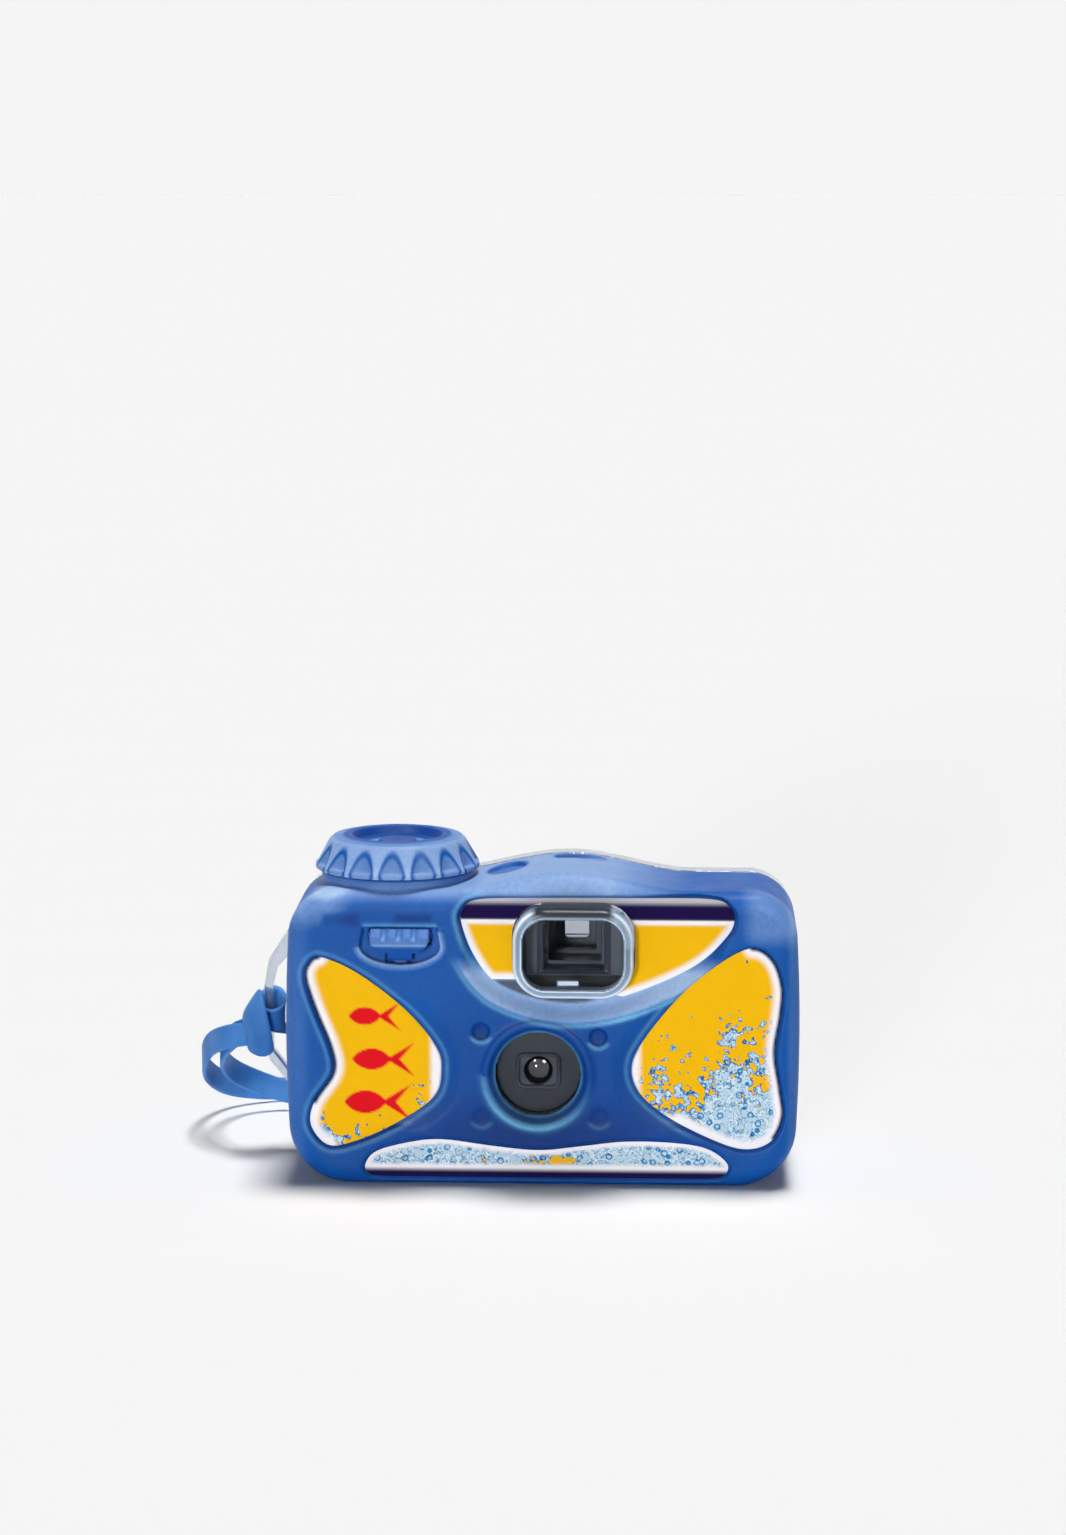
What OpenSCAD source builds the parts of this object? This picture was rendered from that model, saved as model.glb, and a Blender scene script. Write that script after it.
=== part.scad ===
// Waterproof single-use 35 mm film camera. Millimetres, +Z up, front towards -Y.
// The origin is the centre of the flat base.

/* [Housing] */
// Width of the housing
body_w = 124; // [120:1:134]
// Height of the housing at its shoulders
body_h = 72.5; // [71.5:0.5:80]
// Depth of the housing, front to back
body_d = 44; // [44:1:54]
// Depth of the front shell, from its face to the parting line
front_d = 30; // [26:1:34]
// Wall of both shells
wall = 1.8; // [1.6:0.1:2.2]
// Front wall, which carries the label pockets
front_wall = 3.6; // [3.4:0.1:4.2]
// Radius of the two lower corners
low_corner_r = 14; // [10:1:16]
// Radius of the two upper corners
high_corner_r = 11; // [8:1:12]
// Rounding of the front edge
edge_r = 5; // [4:0.5:6]
// Rounding of the back edge
back_edge_r = 9; // [6:0.5:10]
// Rise of the hump over the viewfinder
hump_rise = 4.5; // [3:0.5:6]
// How far the sides draw in at their ends
side_bow = 1.5; // [0:0.25:2]
// Depth of the side and bottom label pockets
pocket_d = 1.4; // [1:0.1:1.8]
// Depth of the top label pocket
top_pocket_d = 2.4; // [2:0.1:2.6]
// Thickness of a label
label_t = 0.3; // [0.2:0.05:0.5]

/* [Lens] */
// Lens axis, to the side of the middle
lens_x = -0.9; // [-2:0.1:1]
// Clear diameter of the lens window
lens_d = 20; // [18:0.5:21]
// Diameter of the bezel around it
bezel_d = 26; // [25.5:0.5:28]
// Thickness of the lens window
lens_window_t = 2; // [1.6:0.1:2.2]
// Diameter of the taking lens
taking_d = 6.8; // [5:0.2:8]

/* [Viewfinder] */
// Viewfinder axis, to the side of the middle
vf_x = 7.6; // [6:0.2:9]
// Width of the viewfinder window
vf_w = 29; // [28:0.5:30]
// Height of the viewfinder window
vf_h = 22; // [21:0.5:22.5]
// How far the viewfinder window stands out of the front
vf_out = 6; // [4:0.5:8]

/* [Winding knob] */
// Knob axis, to the left of the middle
knob_x = -36; // [-38:0.5:-35]
// Diameter of the knob at its skirt
knob_d = 40; // [36:0.5:42]
// Diameter of the knob at its shoulder
knob_shoulder_d = 32.4; // [31:0.2:34]
// Diameter of the ring on its top
knob_top_d = 26.4; // [24:0.2:28]
// Height of the knob
knob_h = 8; // [7:0.5:10]
// Number of flutes around it
knob_flutes = 16; // [10:1:18]
// Height of the collar below the knob
collar_h = 2.1; // [1.5:0.1:3]
// Diameter of the knob shaft
shaft_d = 8; // [7:0.2:8.6]

/* [Trigger] */
// Middle of the trigger, from side to side
trigger_x = -34; // [-35:0.2:-33]
// Width of the trigger tab
trigger_w = 14.2; // [11:0.2:15]
// Diameter of the pin it turns on
trigger_pin_d = 2; // [1.6:0.1:2.2]
// Diameter of the plunger behind it
plunger_d = 2.8; // [2.6:0.1:3]

/* [Strap] */
// How far the strap loop stands off the side
loop_reach = 8.4; // [8:0.2:10]
// Thickness of the strap loop's bar
loop_bar = 2.2; // [2:0.1:2.6]
// Width of the strap
strap_w = 6; // [5:0.5:7]
// Thickness of the strap
strap_t = 1.2; // [1:0.1:1.4]

/* [Film] */
// Radius of the film cartridge
cartridge_r = 12.3; // [12:0.1:12.5]
// Width of the film
film_w = 35; // [34:0.5:36]
// Pitch radius of the film sprocket
sprocket_r = 5.7; // [5:0.1:5.8]
// Radius of the film still on the supply spool
film_roll_r = 9.6; // [7:0.2:9.8]

/* [Hidden] */
$fn = 48;

// Clearances: turning fits, press fits, slip fits, parts that sit side by side, cuts that run past a face
run = 0.06;
press = 0.02;
slip = 0.1;
gap = 0.3;
past = 1;
// How far a piece runs into the wall that it grows from
root = 0.5;

// Planes of the housing, front to back
front_y = -body_d / 2;
back_y = body_d / 2;
part_y = front_y + front_d;
inner_y = front_y + front_wall;
floor_y = front_y + pocket_d;
top_floor_y = front_y + top_pocket_d;

// Planes of the camera inside, each from the one in front of it
post_len = 2.9;
plate_t = 1.5;
cartridge_in = 14;
gate_in = 25;
film_in = 0.5;
film_t = 0.2;
pad_room = 2.3;
cover_y = inner_y + post_len;
chassis_y = cover_y + plate_t;
cartridge_y = chassis_y + cartridge_in;
gate_y = chassis_y + gate_in;
film_y = gate_y + film_in;
camera_back_y = gate_y + pad_room;

// Ends and heights of the camera inside
chamber_half = 16;
camera_left = knob_x - chamber_half;
camera_right = 49;
rib_h = 2.2;
rib_t = 4;
rib_in = 12;
camera_h = 46;
lens_rise = 24;
camera_z = wall + rib_h;
deck_z = camera_z + camera_h;
deck_top = deck_z + plate_t;
lens_z = camera_z + lens_rise;

// Lens window in its seat
lens_in = 2.1;
lens_seat = 2;
seal_t = 0.8;
bezel_out = 1;
lens_window_y = front_y + lens_in;
lens_window_r = lens_d / 2 + lens_seat;

// Viewfinder
tunnel_w = 17;
tunnel_h = 14.5;
tunnel_wall = 1.2;
vf_z = deck_top + tunnel_h / 2;
vf_front = front_y - vf_out;
vf_wall = 1.8;
vf_corner_r = 8;
vf_flange = 1.2;
eyepiece_w = 6;
eyepiece_h = 5.5;
eyepiece_r = 1.2;
eyepiece_z = vf_z - 1.5;
eye_frame = 3;
eye_frame_wall = 2;
eye_frame_out = 1.5;

// Hump, by its middle and half its length
hump_x = 6;
hump_half = 32;

// Pieces on the top deck, by their axes
sprocket_reach = 19;
sprocket_x = knob_x + sprocket_reach;
sprocket_y = film_y - sprocket_r - film_t / 2 - gap;
sprocket_rise = 15;
sprocket_z = lens_z + sprocket_rise;
sprocket_t = 2;
sprocket_room = 0.6;
dial_x = -12;
dial_back = 11.5;
dial_y = chassis_y + dial_back;
dial_z = deck_top + 7.5;
dial_t = 1.2;
dial_r = 6.8;
dial_pin_r = 1;
lever_z = deck_top + 4.8;
lever_t = 1.4;
lever_pin_r = 1.2;
striker_x = -19.5;
striker_y = chassis_y + 10.5;
release_x = -22;
release_y = chassis_y + 4.5;
blade_x = -12;
blade_z = lens_z + 10;
blade_y = chassis_y + 2;
blade_t = 0.5;
supply_x = 34;
supply_y = film_y - film_t / 2 - film_roll_r - gap;
supply_core_r = 5;
supply_pin_r = 2;
cover_top = dial_z + 3.5;

// Knob and the parts on its axis, from the wheel up
collar_r = 18.5;
knob_gap = 0.4;
knob_z = body_h + collar_h + knob_gap;
shaft_r = shaft_d / 2;
shaft_in = 3;
wheel_gap = 0.5;
wheel_t = 3;
wheel_r = 12.2;
wheel_hub_r = 5.2;
wheel_hub_h = 3.5;
wheel_z = deck_top + wheel_gap;
wheel_hub_top = wheel_z + wheel_t + wheel_hub_h;
clip_t = 0.8;
clip_gap = 0.4;
clip_d = 0.8;
clip_r = shaft_r + 2;
clip_z = cover_top + clip_gap;
bearing_wall = 3;
bearing_z = clip_z + clip_t + gap;
ring_z = (bearing_z + body_h + collar_h) / 2;
ring_section = 0.58;
key_t = 2.4;
drive_w = 6.8;
drive_t = 2.2;
spool_r = 5.4;
flute_r = 4;
flute_d = 1.45;
skirt_h = 1;
knob_wall = 2;
top_ring_w = 2;
dish_d = 2.4;
// The flutes stand steeper than the side, so that they run out below the shoulder
flute_tilt = atan2((knob_d - knob_shoulder_d) / 2, knob_h) - 12;

// Trigger and plunger
pin_in = 2.8;
pin_half = 10.9;
head_in = 1.6;
head_t = 1;
guide_in = 3.8;
guide_wall = 1.2;
seat_d = 1.4;
plunger_rise = 5.5;
trigger_rise = 4.8;
trigger_hub_r = 2;
trigger_pocket_d = 5.6;
pocket_w = 22;
pocket_wall = 1.5;
pocket_over = 2.2;
pocket_straight = 5.5;
pocket_low_h = 5;
trigger_y = front_y + pin_in;
plunger_z = deck_top + plunger_rise;
trigger_z = plunger_z + trigger_rise;
pocket_floor_y = front_y + trigger_pocket_d;
pocket_top = trigger_z + pocket_over;
pocket_mid = pocket_top - pocket_straight;
plunger_r = plunger_d / 2;
plunger_tip_y = chassis_y + 2.2;
head_y = front_y + head_in;
guide_y = front_y + guide_in;
pocket_back_y = chassis_y - gap;
plunger_ring_y = pocket_back_y - 1.5;
plunger_ring_section = 0.4;
coil_wire = 0.4;
coil_sides = 6;
coil_rings = 8;
// A coil's wire runs nearer the axis midway between its rings, so its radius is set from there
coil_room = 0.25;
plunger_spring_r = (plunger_r + coil_wire / 2 + coil_room) / cos(180 / coil_rings);
spring_seat_r = plunger_spring_r + coil_wire / 2 + coil_room;

// Shallow marks on the housing: in front of the posts, and on top over the counter and the viewfinder
mark_d = 1;
mark_r = 2.4;
recess_d = 1;
counter_view = [dial_x + 3, dial_y + 1.3];
oval_r = 4.7;
slot_w = 12;
slot_l = 5;
slot_y = cartridge_y + 4;
slot_x = hump_x + 2.5;

// Gasket between the shells
gasket_t = 0.8;
gasket_w = 0.7;

// Label on the back of the camera
back_label_w = 70;
back_label_h = 34;
back_label_r = 5;

// Lower edge of the top label
label_top_low = 51;

// Front posts that hold the camera, seen as round marks beside the lens
post_places = [[-13.7, 10.6], [14.5, 9.4], [-13.5, -10.4], [14.8, -10.3]];
post_r = 2.2;
back_post_in = 9;

// Window outlines, clockwise from the top: side windows from the side edge, the others from the middle
left_window = [
    [9, 56.5], [18, 52.5], [29, 44], [36.5, 35], [38, 29], [36, 22], [26, 15], [16, 10.6],
    [10, 10], [6, 15], [7, 21], [11.5, 28], [11, 34], [7.5, 43], [5, 51], [5.8, 54.8]
];
right_window = [
    [11.5, 59.5], [6.5, 56.5], [4.2, 50], [4.5, 43], [5.8, 34], [4.5, 25], [3.8, 18], [6.5, 12],
    [12, 9.8], [19, 11.3], [31, 17.2], [38.5, 23.5], [40.5, 30], [37.5, 36.8], [29, 47.5], [19, 56]
];
bottom_window = [
    [-42.8, 5.5], [-40, 8.7], [-32, 11], [-24, 11.8], [-12, 10.3], [-1, 9.3], [9, 10.3], [20, 11.6],
    [32, 11.4], [40, 10], [44.8, 6.5], [44.5, 3.6], [41, 2.4], [28, 2.3], [0, 2.2], [-26, 2.2],
    [-39, 2.3], [-42.2, 3.2]
];
top_window = [
    [-19.5, 65], [-19, 68.5], [-15, 70.8], [0, 71.2], [20, 71.3], [40, 71.2], [45, 69.3], [46.2, 66],
    [44.5, 62], [38, 55.5], [28, 50.2], [17, 46.3], [7, 45], [-2, 46.2], [-11, 50], [-16.5, 57]
];

// Strap loop: the ends of its arms on the side wall, the ends of its bar and the web of its upper arm
loop_low = 13;
loop_high = 60;
loop_bar_low = 26;
loop_bar_high = 42;
loop_web = 7;
loop_y = part_y + 2;
loop_t = 4;
knot_z = 34;
knot_gap = 0.15;
// Flared turn of the knot, by its radii and its place to the right of the bar
knot_r = 3.4;
knot_rim_r = 3.7;
knot_in = 0.7;
// Outline of the flap over the front of the knot, from the bar and the knot's middle
knot_flap = [[-1.5, 8.2], [-6.4, 1.5], [-6, -0.7], [-4.7, -8.4], [0.1, -9.6], [2, -7.4], [1.4, -2.7], [0.3, 2.2]];
knot_flap_y = loop_y - 4.4;
knot_flap_t = 3.8;

// Route of the wrist strap, from the knot and back to it
strap_route = [
    [-74, 10.5, 30], [-80, 13, 28.5], [-85, 20, 25], [-88, 29, 19.5], [-88.5, 40, 13], [-85, 51, 7],
    [-77, 58, 4], [-66, 61.5, 3.2], [-54, 63, 3.2], [-40, 63, 3.2], [-26, 62.5, 3.2], [-12, 62, 3.2],
    [0, 60.5, 3.2], [9, 55, 3.2], [12, 47, 3.2], [8, 39, 3.2], [-2, 34.5, 3.2], [-16, 35, 3.2],
    [-30, 39, 3.2], [-44, 44, 3.2], [-57, 49, 3.4], [-69, 50.5, 5], [-78, 47, 9], [-82.5, 39, 14],
    [-83.5, 30, 19.5], [-81.5, 22, 24.5], [-78, 16.5, 28.5], [-74, 14, 30.5]
];

// Round outlines and lofted shells

// Point at t on the curve from b to c, where a and d are the points on either side
function blend(a, b, c, d, t) =
    b + (c - a) * t / 2
    + (a - 2.5 * b + 2 * c - d / 2) * t * t
    + (1.5 * b - a / 2 - 1.5 * c + d / 2) * t * t * t;
// Closed curve through the points, with n steps between two of them
function smooth(p, n = 4) = let (m = len(p)) [
    for (i = [0:m - 1], k = [0:n - 1])
        blend(p[(i + m - 1) % m], p[i], p[(i + 1) % m], p[(i + 2) % m], k / n)
];
// The same outline drawn in by d, for points that run clockwise
function drawn_in(p, d) = let (m = len(p)) [
    for (i = [0:m - 1])
        let (t = p[(i + 1) % m] - p[(i + m - 1) % m])
        p[i] + d * [t[1], -t[0]] / norm(t)
];
function arc(cx, cz, r, a0, a1, n) = [
    for (i = [0:n]) let (a = a0 + (a1 - a0) * i / n) [cx + r * cos(a), cz + r * sin(a)]
];
function hump(x) = hump_rise * (1 + cos(180 * min(1, abs(x - hump_x) / hump_half))) / 2;
function bowed(p) = [p[0] * (1 - 2 * side_bow / body_w * pow(2 * p[1] / body_h - 1, 2)), p[1]];
// Outline of the housing, drawn in by d
function housing(d) = let (
    w = body_w / 2,
    low = low_corner_r,
    high = high_corner_r,
    side = [for (i = [1:3]) low + (body_h - low - high) * i / 4],
    crest = [for (i = [1:15]) (w - high) * (1 - i / 8)]
) [
    for (p = concat(
        arc(-w + low, low, max(low - d, 0.5), 180, 270, 6),
        arc(w - low, low, max(low - d, 0.5), 270, 360, 6),
        [for (z = side) [w - d, z]],
        arc(w - high, body_h - high, max(high - d, 0.5), 0, 90, 6),
        [for (x = crest) [x, body_h - d + hump(x)]],
        arc(-w + high, body_h - high, max(high - d, 0.5), 90, 180, 6),
        [for (i = [2:-1:0]) [-w + d, side[i]]]
    )) bowed(p)
];
// Rounded rectangle about a centre, drawn in by d
function round_rect(cx, cz, w, h, r, d = 0) = concat(
    arc(cx - w / 2 + r, cz - h / 2 + r, max(r - d, 0.2), 180, 270, 5),
    arc(cx + w / 2 - r, cz - h / 2 + r, max(r - d, 0.2), 270, 360, 5),
    arc(cx + w / 2 - r, cz + h / 2 - r, max(r - d, 0.2), 0, 90, 5),
    arc(cx - w / 2 + r, cz + h / 2 - r, max(r - d, 0.2), 90, 180, 5)
);
// Quarter-round edge that starts at depth y0, then straight to y1: pairs of depth and inset
function edge_rings(y0, y1, r, d) = concat(
    [for (i = [0:4]) let (a = 90 * i / 4) [y0 + r * (1 - cos(a)), d + r * (1 - sin(a))]],
    [[y1, d]]
);
// Solid through a stack of rings of [x, z] points at depths y, front to back
module stack(depths, rings) {
    n = len(rings[0]);
    m = len(rings);
    skin = [for (k = [0:m - 1], p = rings[k]) [p[0], depths[k], p[1]]];
    sides = [
        for (k = [0:m - 2], i = [0:n - 1])
            let (j = (i + 1) % n)
            each [[k * n + i, k * n + j, k * n + n + j], [k * n + i, k * n + n + j, k * n + n + i]]
    ];
    ends = [[for (i = [n - 1:-1:0]) i], [for (i = [0:n - 1]) (m - 1) * n + i]];
    polyhedron(skin, concat(ends, sides), convexity = 8);
}
module housing_loft(pairs) {
    stack([for (p = pairs) p[0]], [for (p = pairs) housing(p[1])]);
}
// Straight plate with an outline in X and Z, from depth y0 to y1
module plate(y0, y1) {
    translate([0, y1, 0]) rotate([90, 0, 0]) linear_extrude(y1 - y0) children();
}
// Cylinder or cone along Y, from depth y0 to y1
module rod_y(x, z, y0, y1, r0, r1 = -1) {
    translate([x, y0, z]) rotate([-90, 0, 0]) cylinder(y1 - y0, r0, r1 < 0 ? r0 : r1);
}
module rod_x(y, z, x0, x1, r) {
    translate([x0, y, z]) rotate([0, 90, 0]) cylinder(x1 - x0, r, r);
}
module rod_z(x, y, z0, z1, r) {
    translate([x, y, z0]) cylinder(z1 - z0, r, r);
}
// Block between two corners
module block(a, b) {
    translate(a) cube(b - a);
}
// Ring of round section about the Z axis
module o_ring(r, section_r) {
    rotate_extrude() translate([r, 0]) circle(section_r, $fn = 24);
}

// Windows in place on the front
function from_left(p) = [for (q = p) [q[0] - body_w / 2, q[1]]];
function from_right(p) = [for (q = p) [body_w / 2 - q[0], q[1]]];
left_outline = smooth(from_left(left_window));
right_outline = smooth(from_right(right_window));
bottom_outline = smooth(bottom_window);
top_outline = smooth(top_window);

// Half-moon pocket of the trigger
module trigger_pocket_shape() {
    half = pocket_w / 2;
    polygon(concat(
        [[trigger_x + half - pocket_over, pocket_top], [trigger_x - half + pocket_over, pocket_top]],
        [for (i = [0:16]) let (a = 180 + 180 * i / 16)
            [trigger_x + half * cos(a), pocket_mid + pocket_low_h * sin(a)]]
    ));
}

// Housing pieces

front_blue = [0.18, 0.38, 0.70];
clear_tint = [0.82, 0.87, 0.92];

module front_shell_solid() {
    difference() {
        housing_loft(edge_rings(front_y, part_y, edge_r, 0));
        housing_loft(edge_rings(inner_y, part_y + past, edge_r - 2, wall));
    }
    // Collar and bearing of the knob
    difference() {
        rod_z(knob_x, cartridge_y, body_h - wall, body_h + collar_h, collar_r);
        block(
            [knob_x - collar_r - past, part_y, body_h - wall - past],
            [knob_x + collar_r + past, part_y + collar_r, body_h + gap]
        );
    }
    rod_z(knob_x, cartridge_y, bearing_z, body_h, shaft_r + bearing_wall);
    // Raised bezel of the lens
    rod_y(lens_x, lens_z, front_y - bezel_out, front_y + root, bezel_d / 2, bezel_d / 2 + bezel_out);
    // Walls of the trigger pocket
    block(
        [trigger_x - pocket_w / 2 - pocket_wall, inner_y - root, pocket_mid - pocket_low_h - pocket_wall],
        [trigger_x + pocket_w / 2 + pocket_wall, pocket_back_y, pocket_top + pocket_wall]
    );
    // Posts that press on the camera, and ribs that it stands on
    for (p = post_places) rod_y(lens_x + p[0], lens_z + p[1], inner_y - root, cover_y, post_r);
    for (x = [camera_left + rib_in, camera_right - rib_in - rib_t])
        block([x, chassis_y + past, wall - root], [x + rib_t, part_y - past, camera_z]);
}

module front_shell() {
    color(front_blue, 0.8) difference() {
        union() {
            difference() {
                front_shell_solid();
                plate(front_y - past, floor_y) polygon(left_outline);
                plate(front_y - past, floor_y) polygon(right_outline);
                plate(front_y - past, floor_y) polygon(bottom_outline);
                plate(front_y - past, top_floor_y) polygon(top_outline);
                plate(front_y - past, pocket_floor_y) trigger_pocket_shape();
            }
            rod_y(trigger_x, plunger_z, guide_y, pocket_floor_y + past, spring_seat_r + guide_wall);
        }
        // Viewfinder opening and lens opening with its seat
        plate(front_y - past, inner_y + past)
            polygon(round_rect(vf_x, vf_z, vf_w, vf_h, vf_corner_r, -slip));
        rod_y(lens_x, lens_z, front_y - bezel_out, lens_window_y - root, bezel_d / 2 - 1, lens_d / 2);
        rod_y(lens_x, lens_z, front_y - bezel_out - past, inner_y + past, lens_d / 2);
        rod_y(lens_x, lens_z, lens_window_y, inner_y + past, lens_window_r + run);
        // Knob bearing with room for its clip, plunger guide with its spring seat, trigger hub and pin
        rod_z(knob_x, cartridge_y, bearing_z - past, knob_z, shaft_r + run);
        rod_z(knob_x, cartridge_y, clip_z - gap, bearing_z, clip_r + gap);
        rod_y(trigger_x, plunger_z, guide_y - past, pocket_back_y + past, plunger_r + run);
        rod_y(trigger_x, plunger_z, guide_y - past, guide_y + seat_d, spring_seat_r);
        translate([trigger_x, 0, 0]) {
            rod_x(trigger_y, trigger_z, -trigger_w / 2 - gap, trigger_w / 2 + gap, trigger_hub_r + gap);
            rod_x(trigger_y, trigger_z, -pin_half - slip, pin_half + slip, trigger_pin_d / 2 + press);
        }
        // Round marks in front of the posts
        for (p = post_places)
            rod_y(lens_x + p[0], lens_z + p[1], front_y - past, front_y + mark_d, mark_r);
        // Shallow recesses on top: the counter's oval and a slot
        translate([counter_view[0], counter_view[1], body_h + hump(counter_view[0]) - recess_d])
            scale([1, 1.3, 1]) cylinder(hump_rise + recess_d, oval_r, oval_r);
        block(
            [slot_x - slot_w / 2, slot_y - slot_l / 2, body_h + hump_rise - recess_d],
            [slot_x + slot_w / 2, slot_y + slot_l / 2, body_h + hump_rise + past]
        );
        // Groove of the gasket
        plate(part_y - gasket_t, part_y + past) gasket_shape(gasket_w + slip);
    }
}

module gasket_shape(w) {
    difference() {
        polygon(housing((wall - w) / 2));
        polygon(housing((wall + w) / 2));
    }
}

// Outline of the strap loop, drawn in by d and by the web of the upper arm
module loop_shape(d, web) {
    side = -body_w / 2;
    out = side - loop_reach + d;
    polygon([
        [side + 2, loop_high - web], [side - 1, loop_high - 1.5 - web], [out + 1.2, loop_bar_high + 7 - d],
        [out, loop_bar_high], [out, loop_bar_low], [out + 1.2, loop_bar_low - 2.8 + 0.6 * d],
        [side - 2.4 + 0.65 * d, loop_low + 4.3 + 0.85 * d], [side + 2, loop_low + 1.45 * d]
    ]);
}

module back_shell() {
    color(clear_tint, 0.4) difference() {
        union() {
            mirror([0, 1, 0]) difference() {
                housing_loft(edge_rings(-back_y, -part_y, back_edge_r, 0));
                housing_loft(edge_rings(-back_y + wall, -part_y + past, back_edge_r - wall, wall));
            }
            // Strap loop on the left side
            plate(loop_y, loop_y + loop_t) difference() {
                loop_shape(0, 0);
                loop_shape(loop_bar, loop_web);
                translate([-body_w / 2 + wall / 2, 0]) square([10, body_h]);
            }
            // Frame of the eyepiece
            plate(back_y - root, back_y + eye_frame_out)
                eye_frame_shape(0);
            // Posts that press on the back of the camera
            for (
                x = [camera_left + back_post_in, camera_right - back_post_in],
                z = [camera_z + back_post_in, deck_z - back_post_in]
            )
                rod_y(x, z, camera_back_y + plate_t, back_y - wall + root, post_r);
        }
        plate(back_y + root, back_y + eye_frame_out + past)
            eye_frame_shape(eye_frame_wall);
    }
}

module eye_frame_shape(d) {
    w = eyepiece_w + 2 * eye_frame;
    h = eyepiece_h + 2 * eye_frame;
    polygon(round_rect(vf_x, eyepiece_z, w, h, eye_frame, d));
}

module shell_gasket() {
    color("dimgray") plate(part_y - gasket_t, part_y) gasket_shape(gasket_w);
}

module lens_window() {
    color(clear_tint, 0.4)
        rod_y(lens_x, lens_z, lens_window_y, lens_window_y + lens_window_t, lens_window_r);
}

module lens_window_seal() {
    y = lens_window_y + lens_window_t;
    color("black") difference() {
        rod_y(lens_x, lens_z, y, y + seal_t, lens_window_r);
        rod_y(lens_x, lens_z, y - past, y + seal_t + past, lens_d / 2 + root);
    }
}

module viewfinder_window() {
    depths = [vf_front, vf_front + 0.6, vf_front + 2, vf_front + 3.5, inner_y];
    insets = [3, 1.2, 0.3, 0, 0];
    color(clear_tint, 0.4) difference() {
        union() {
            stack(depths, [for (d = insets) round_rect(vf_x, vf_z, vf_w, vf_h, vf_corner_r, d)]);
            plate(inner_y, inner_y + vf_flange)
                polygon(round_rect(vf_x, vf_z, vf_w, vf_h, vf_corner_r, -vf_flange));
        }
        plate(vf_front + vf_wall, inner_y + vf_flange + past)
            polygon(round_rect(vf_x, vf_z, vf_w, vf_h, vf_corner_r, vf_wall));
    }
}

// Winding knob and what turns with it

module winding_knob() {
    r = knob_d / 2;
    s = knob_shoulder_d / 2;
    ring = knob_top_d / 2;
    boss_r = shaft_r + 0.5;
    color(front_blue, 0.8) translate([knob_x, cartridge_y, knob_z]) difference() {
        // Skirt, sloping side, top ring, dish with a boss, and the socket of the shaft
        rotate_extrude() polygon([
            [shaft_r + press, 0], [shaft_r + knob_wall, 0], [shaft_r + knob_wall, 2 * skirt_h],
            [ring - knob_wall, 3.5 * skirt_h], [r - knob_wall, skirt_h], [r - knob_wall, 0],
            [r, 0], [r, skirt_h], [s + 0.4, knob_h - 1.2], [s - 0.4, knob_h - 0.5],
            [ring + 0.3, knob_h - 0.2], [ring, knob_h], [ring - top_ring_w, knob_h],
            [ring - top_ring_w - 1.2, knob_h - 1.8], [boss_r + 0.5, knob_h - dish_d],
            [boss_r, knob_h - dish_d + 1], [0, knob_h - dish_d + 1],
            [0, knob_h - shaft_in], [shaft_r + press, knob_h - shaft_in]
        ]);
        // Flutes down the side, which run out below the top ring
        for (i = [0:knob_flutes - 1])
            rotate([0, 0, 360 * i / knob_flutes])
                translate([r + (flute_r - flute_d) / cos(flute_tilt), 0, skirt_h])
                    rotate([0, -flute_tilt, 0])
                        translate([0, 0, -knob_h]) cylinder(3 * knob_h, flute_r, flute_r);
    }
}

module knob_shaft() {
    key_half = shaft_r - 0.7;
    color("whitesmoke") translate([knob_x, cartridge_y, 0]) difference() {
        union() {
            rod_z(0, 0, wheel_hub_top + 0.2, knob_z + knob_h - shaft_in, shaft_r);
            // Key that turns the wheel
            block(
                [-key_half, -key_t / 2, wheel_z + wheel_t + 0.7],
                [key_half, key_t / 2, wheel_hub_top + 1]
            );
        }
        // Grooves of the O-ring and of the retaining clip
        translate([0, 0, ring_z - ring_section - slip])
            ring_cut(2 * (ring_section + slip), shaft_r - 2 * ring_section);
        translate([0, 0, clip_z - slip / 2]) ring_cut(clip_t + slip, shaft_r - clip_d);
    }
}

// Groove of height h around a shaft, down to radius r
module ring_cut(h, r) {
    difference() {
        cylinder(h, shaft_r + past, shaft_r + past);
        translate([0, 0, -past]) cylinder(h + 2 * past, r, r);
    }
}

module knob_o_ring() {
    color("black") translate([knob_x, cartridge_y, ring_z])
        o_ring(shaft_r - ring_section + run / 2, ring_section);
}

module knob_retaining_clip() {
    mouth = 2.4;
    hole_r = shaft_r - clip_d + press;
    color("silver") translate([knob_x, cartridge_y, clip_z]) difference() {
        cylinder(clip_t, clip_r, clip_r);
        translate([0, 0, -past]) cylinder(clip_t + 2 * past, hole_r, hole_r);
        block([-mouth / 2, 0, -past], [mouth / 2, clip_r + past, clip_t + past]);
    }
}

module wind_wheel() {
    teeth = 30;
    key_half = key_t / 2 + slip;
    color("dimgray") translate([knob_x, cartridge_y, 0]) {
        difference() {
            union() {
                rod_z(0, 0, wheel_z, wheel_z + wheel_t, wheel_r);
                rod_z(0, 0, wheel_z, wheel_hub_top, wheel_hub_r);
            }
            block(
                [-shaft_r, -key_half, wheel_z + wheel_t + 0.5],
                [shaft_r, key_half, wheel_hub_top + past]
            );
            for (i = [0:teeth - 1])
                rotate([0, 0, 360 * i / teeth])
                    rod_z(wheel_r + 0.2, 0, wheel_z - past, wheel_z + wheel_t + past, 0.8);
        }
        // Blade that turns the spool
        block([-drive_w / 2, -drive_t / 2, wheel_z - 2.2], [drive_w / 2, drive_t / 2, wheel_z]);
    }
}

// Trigger

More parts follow.
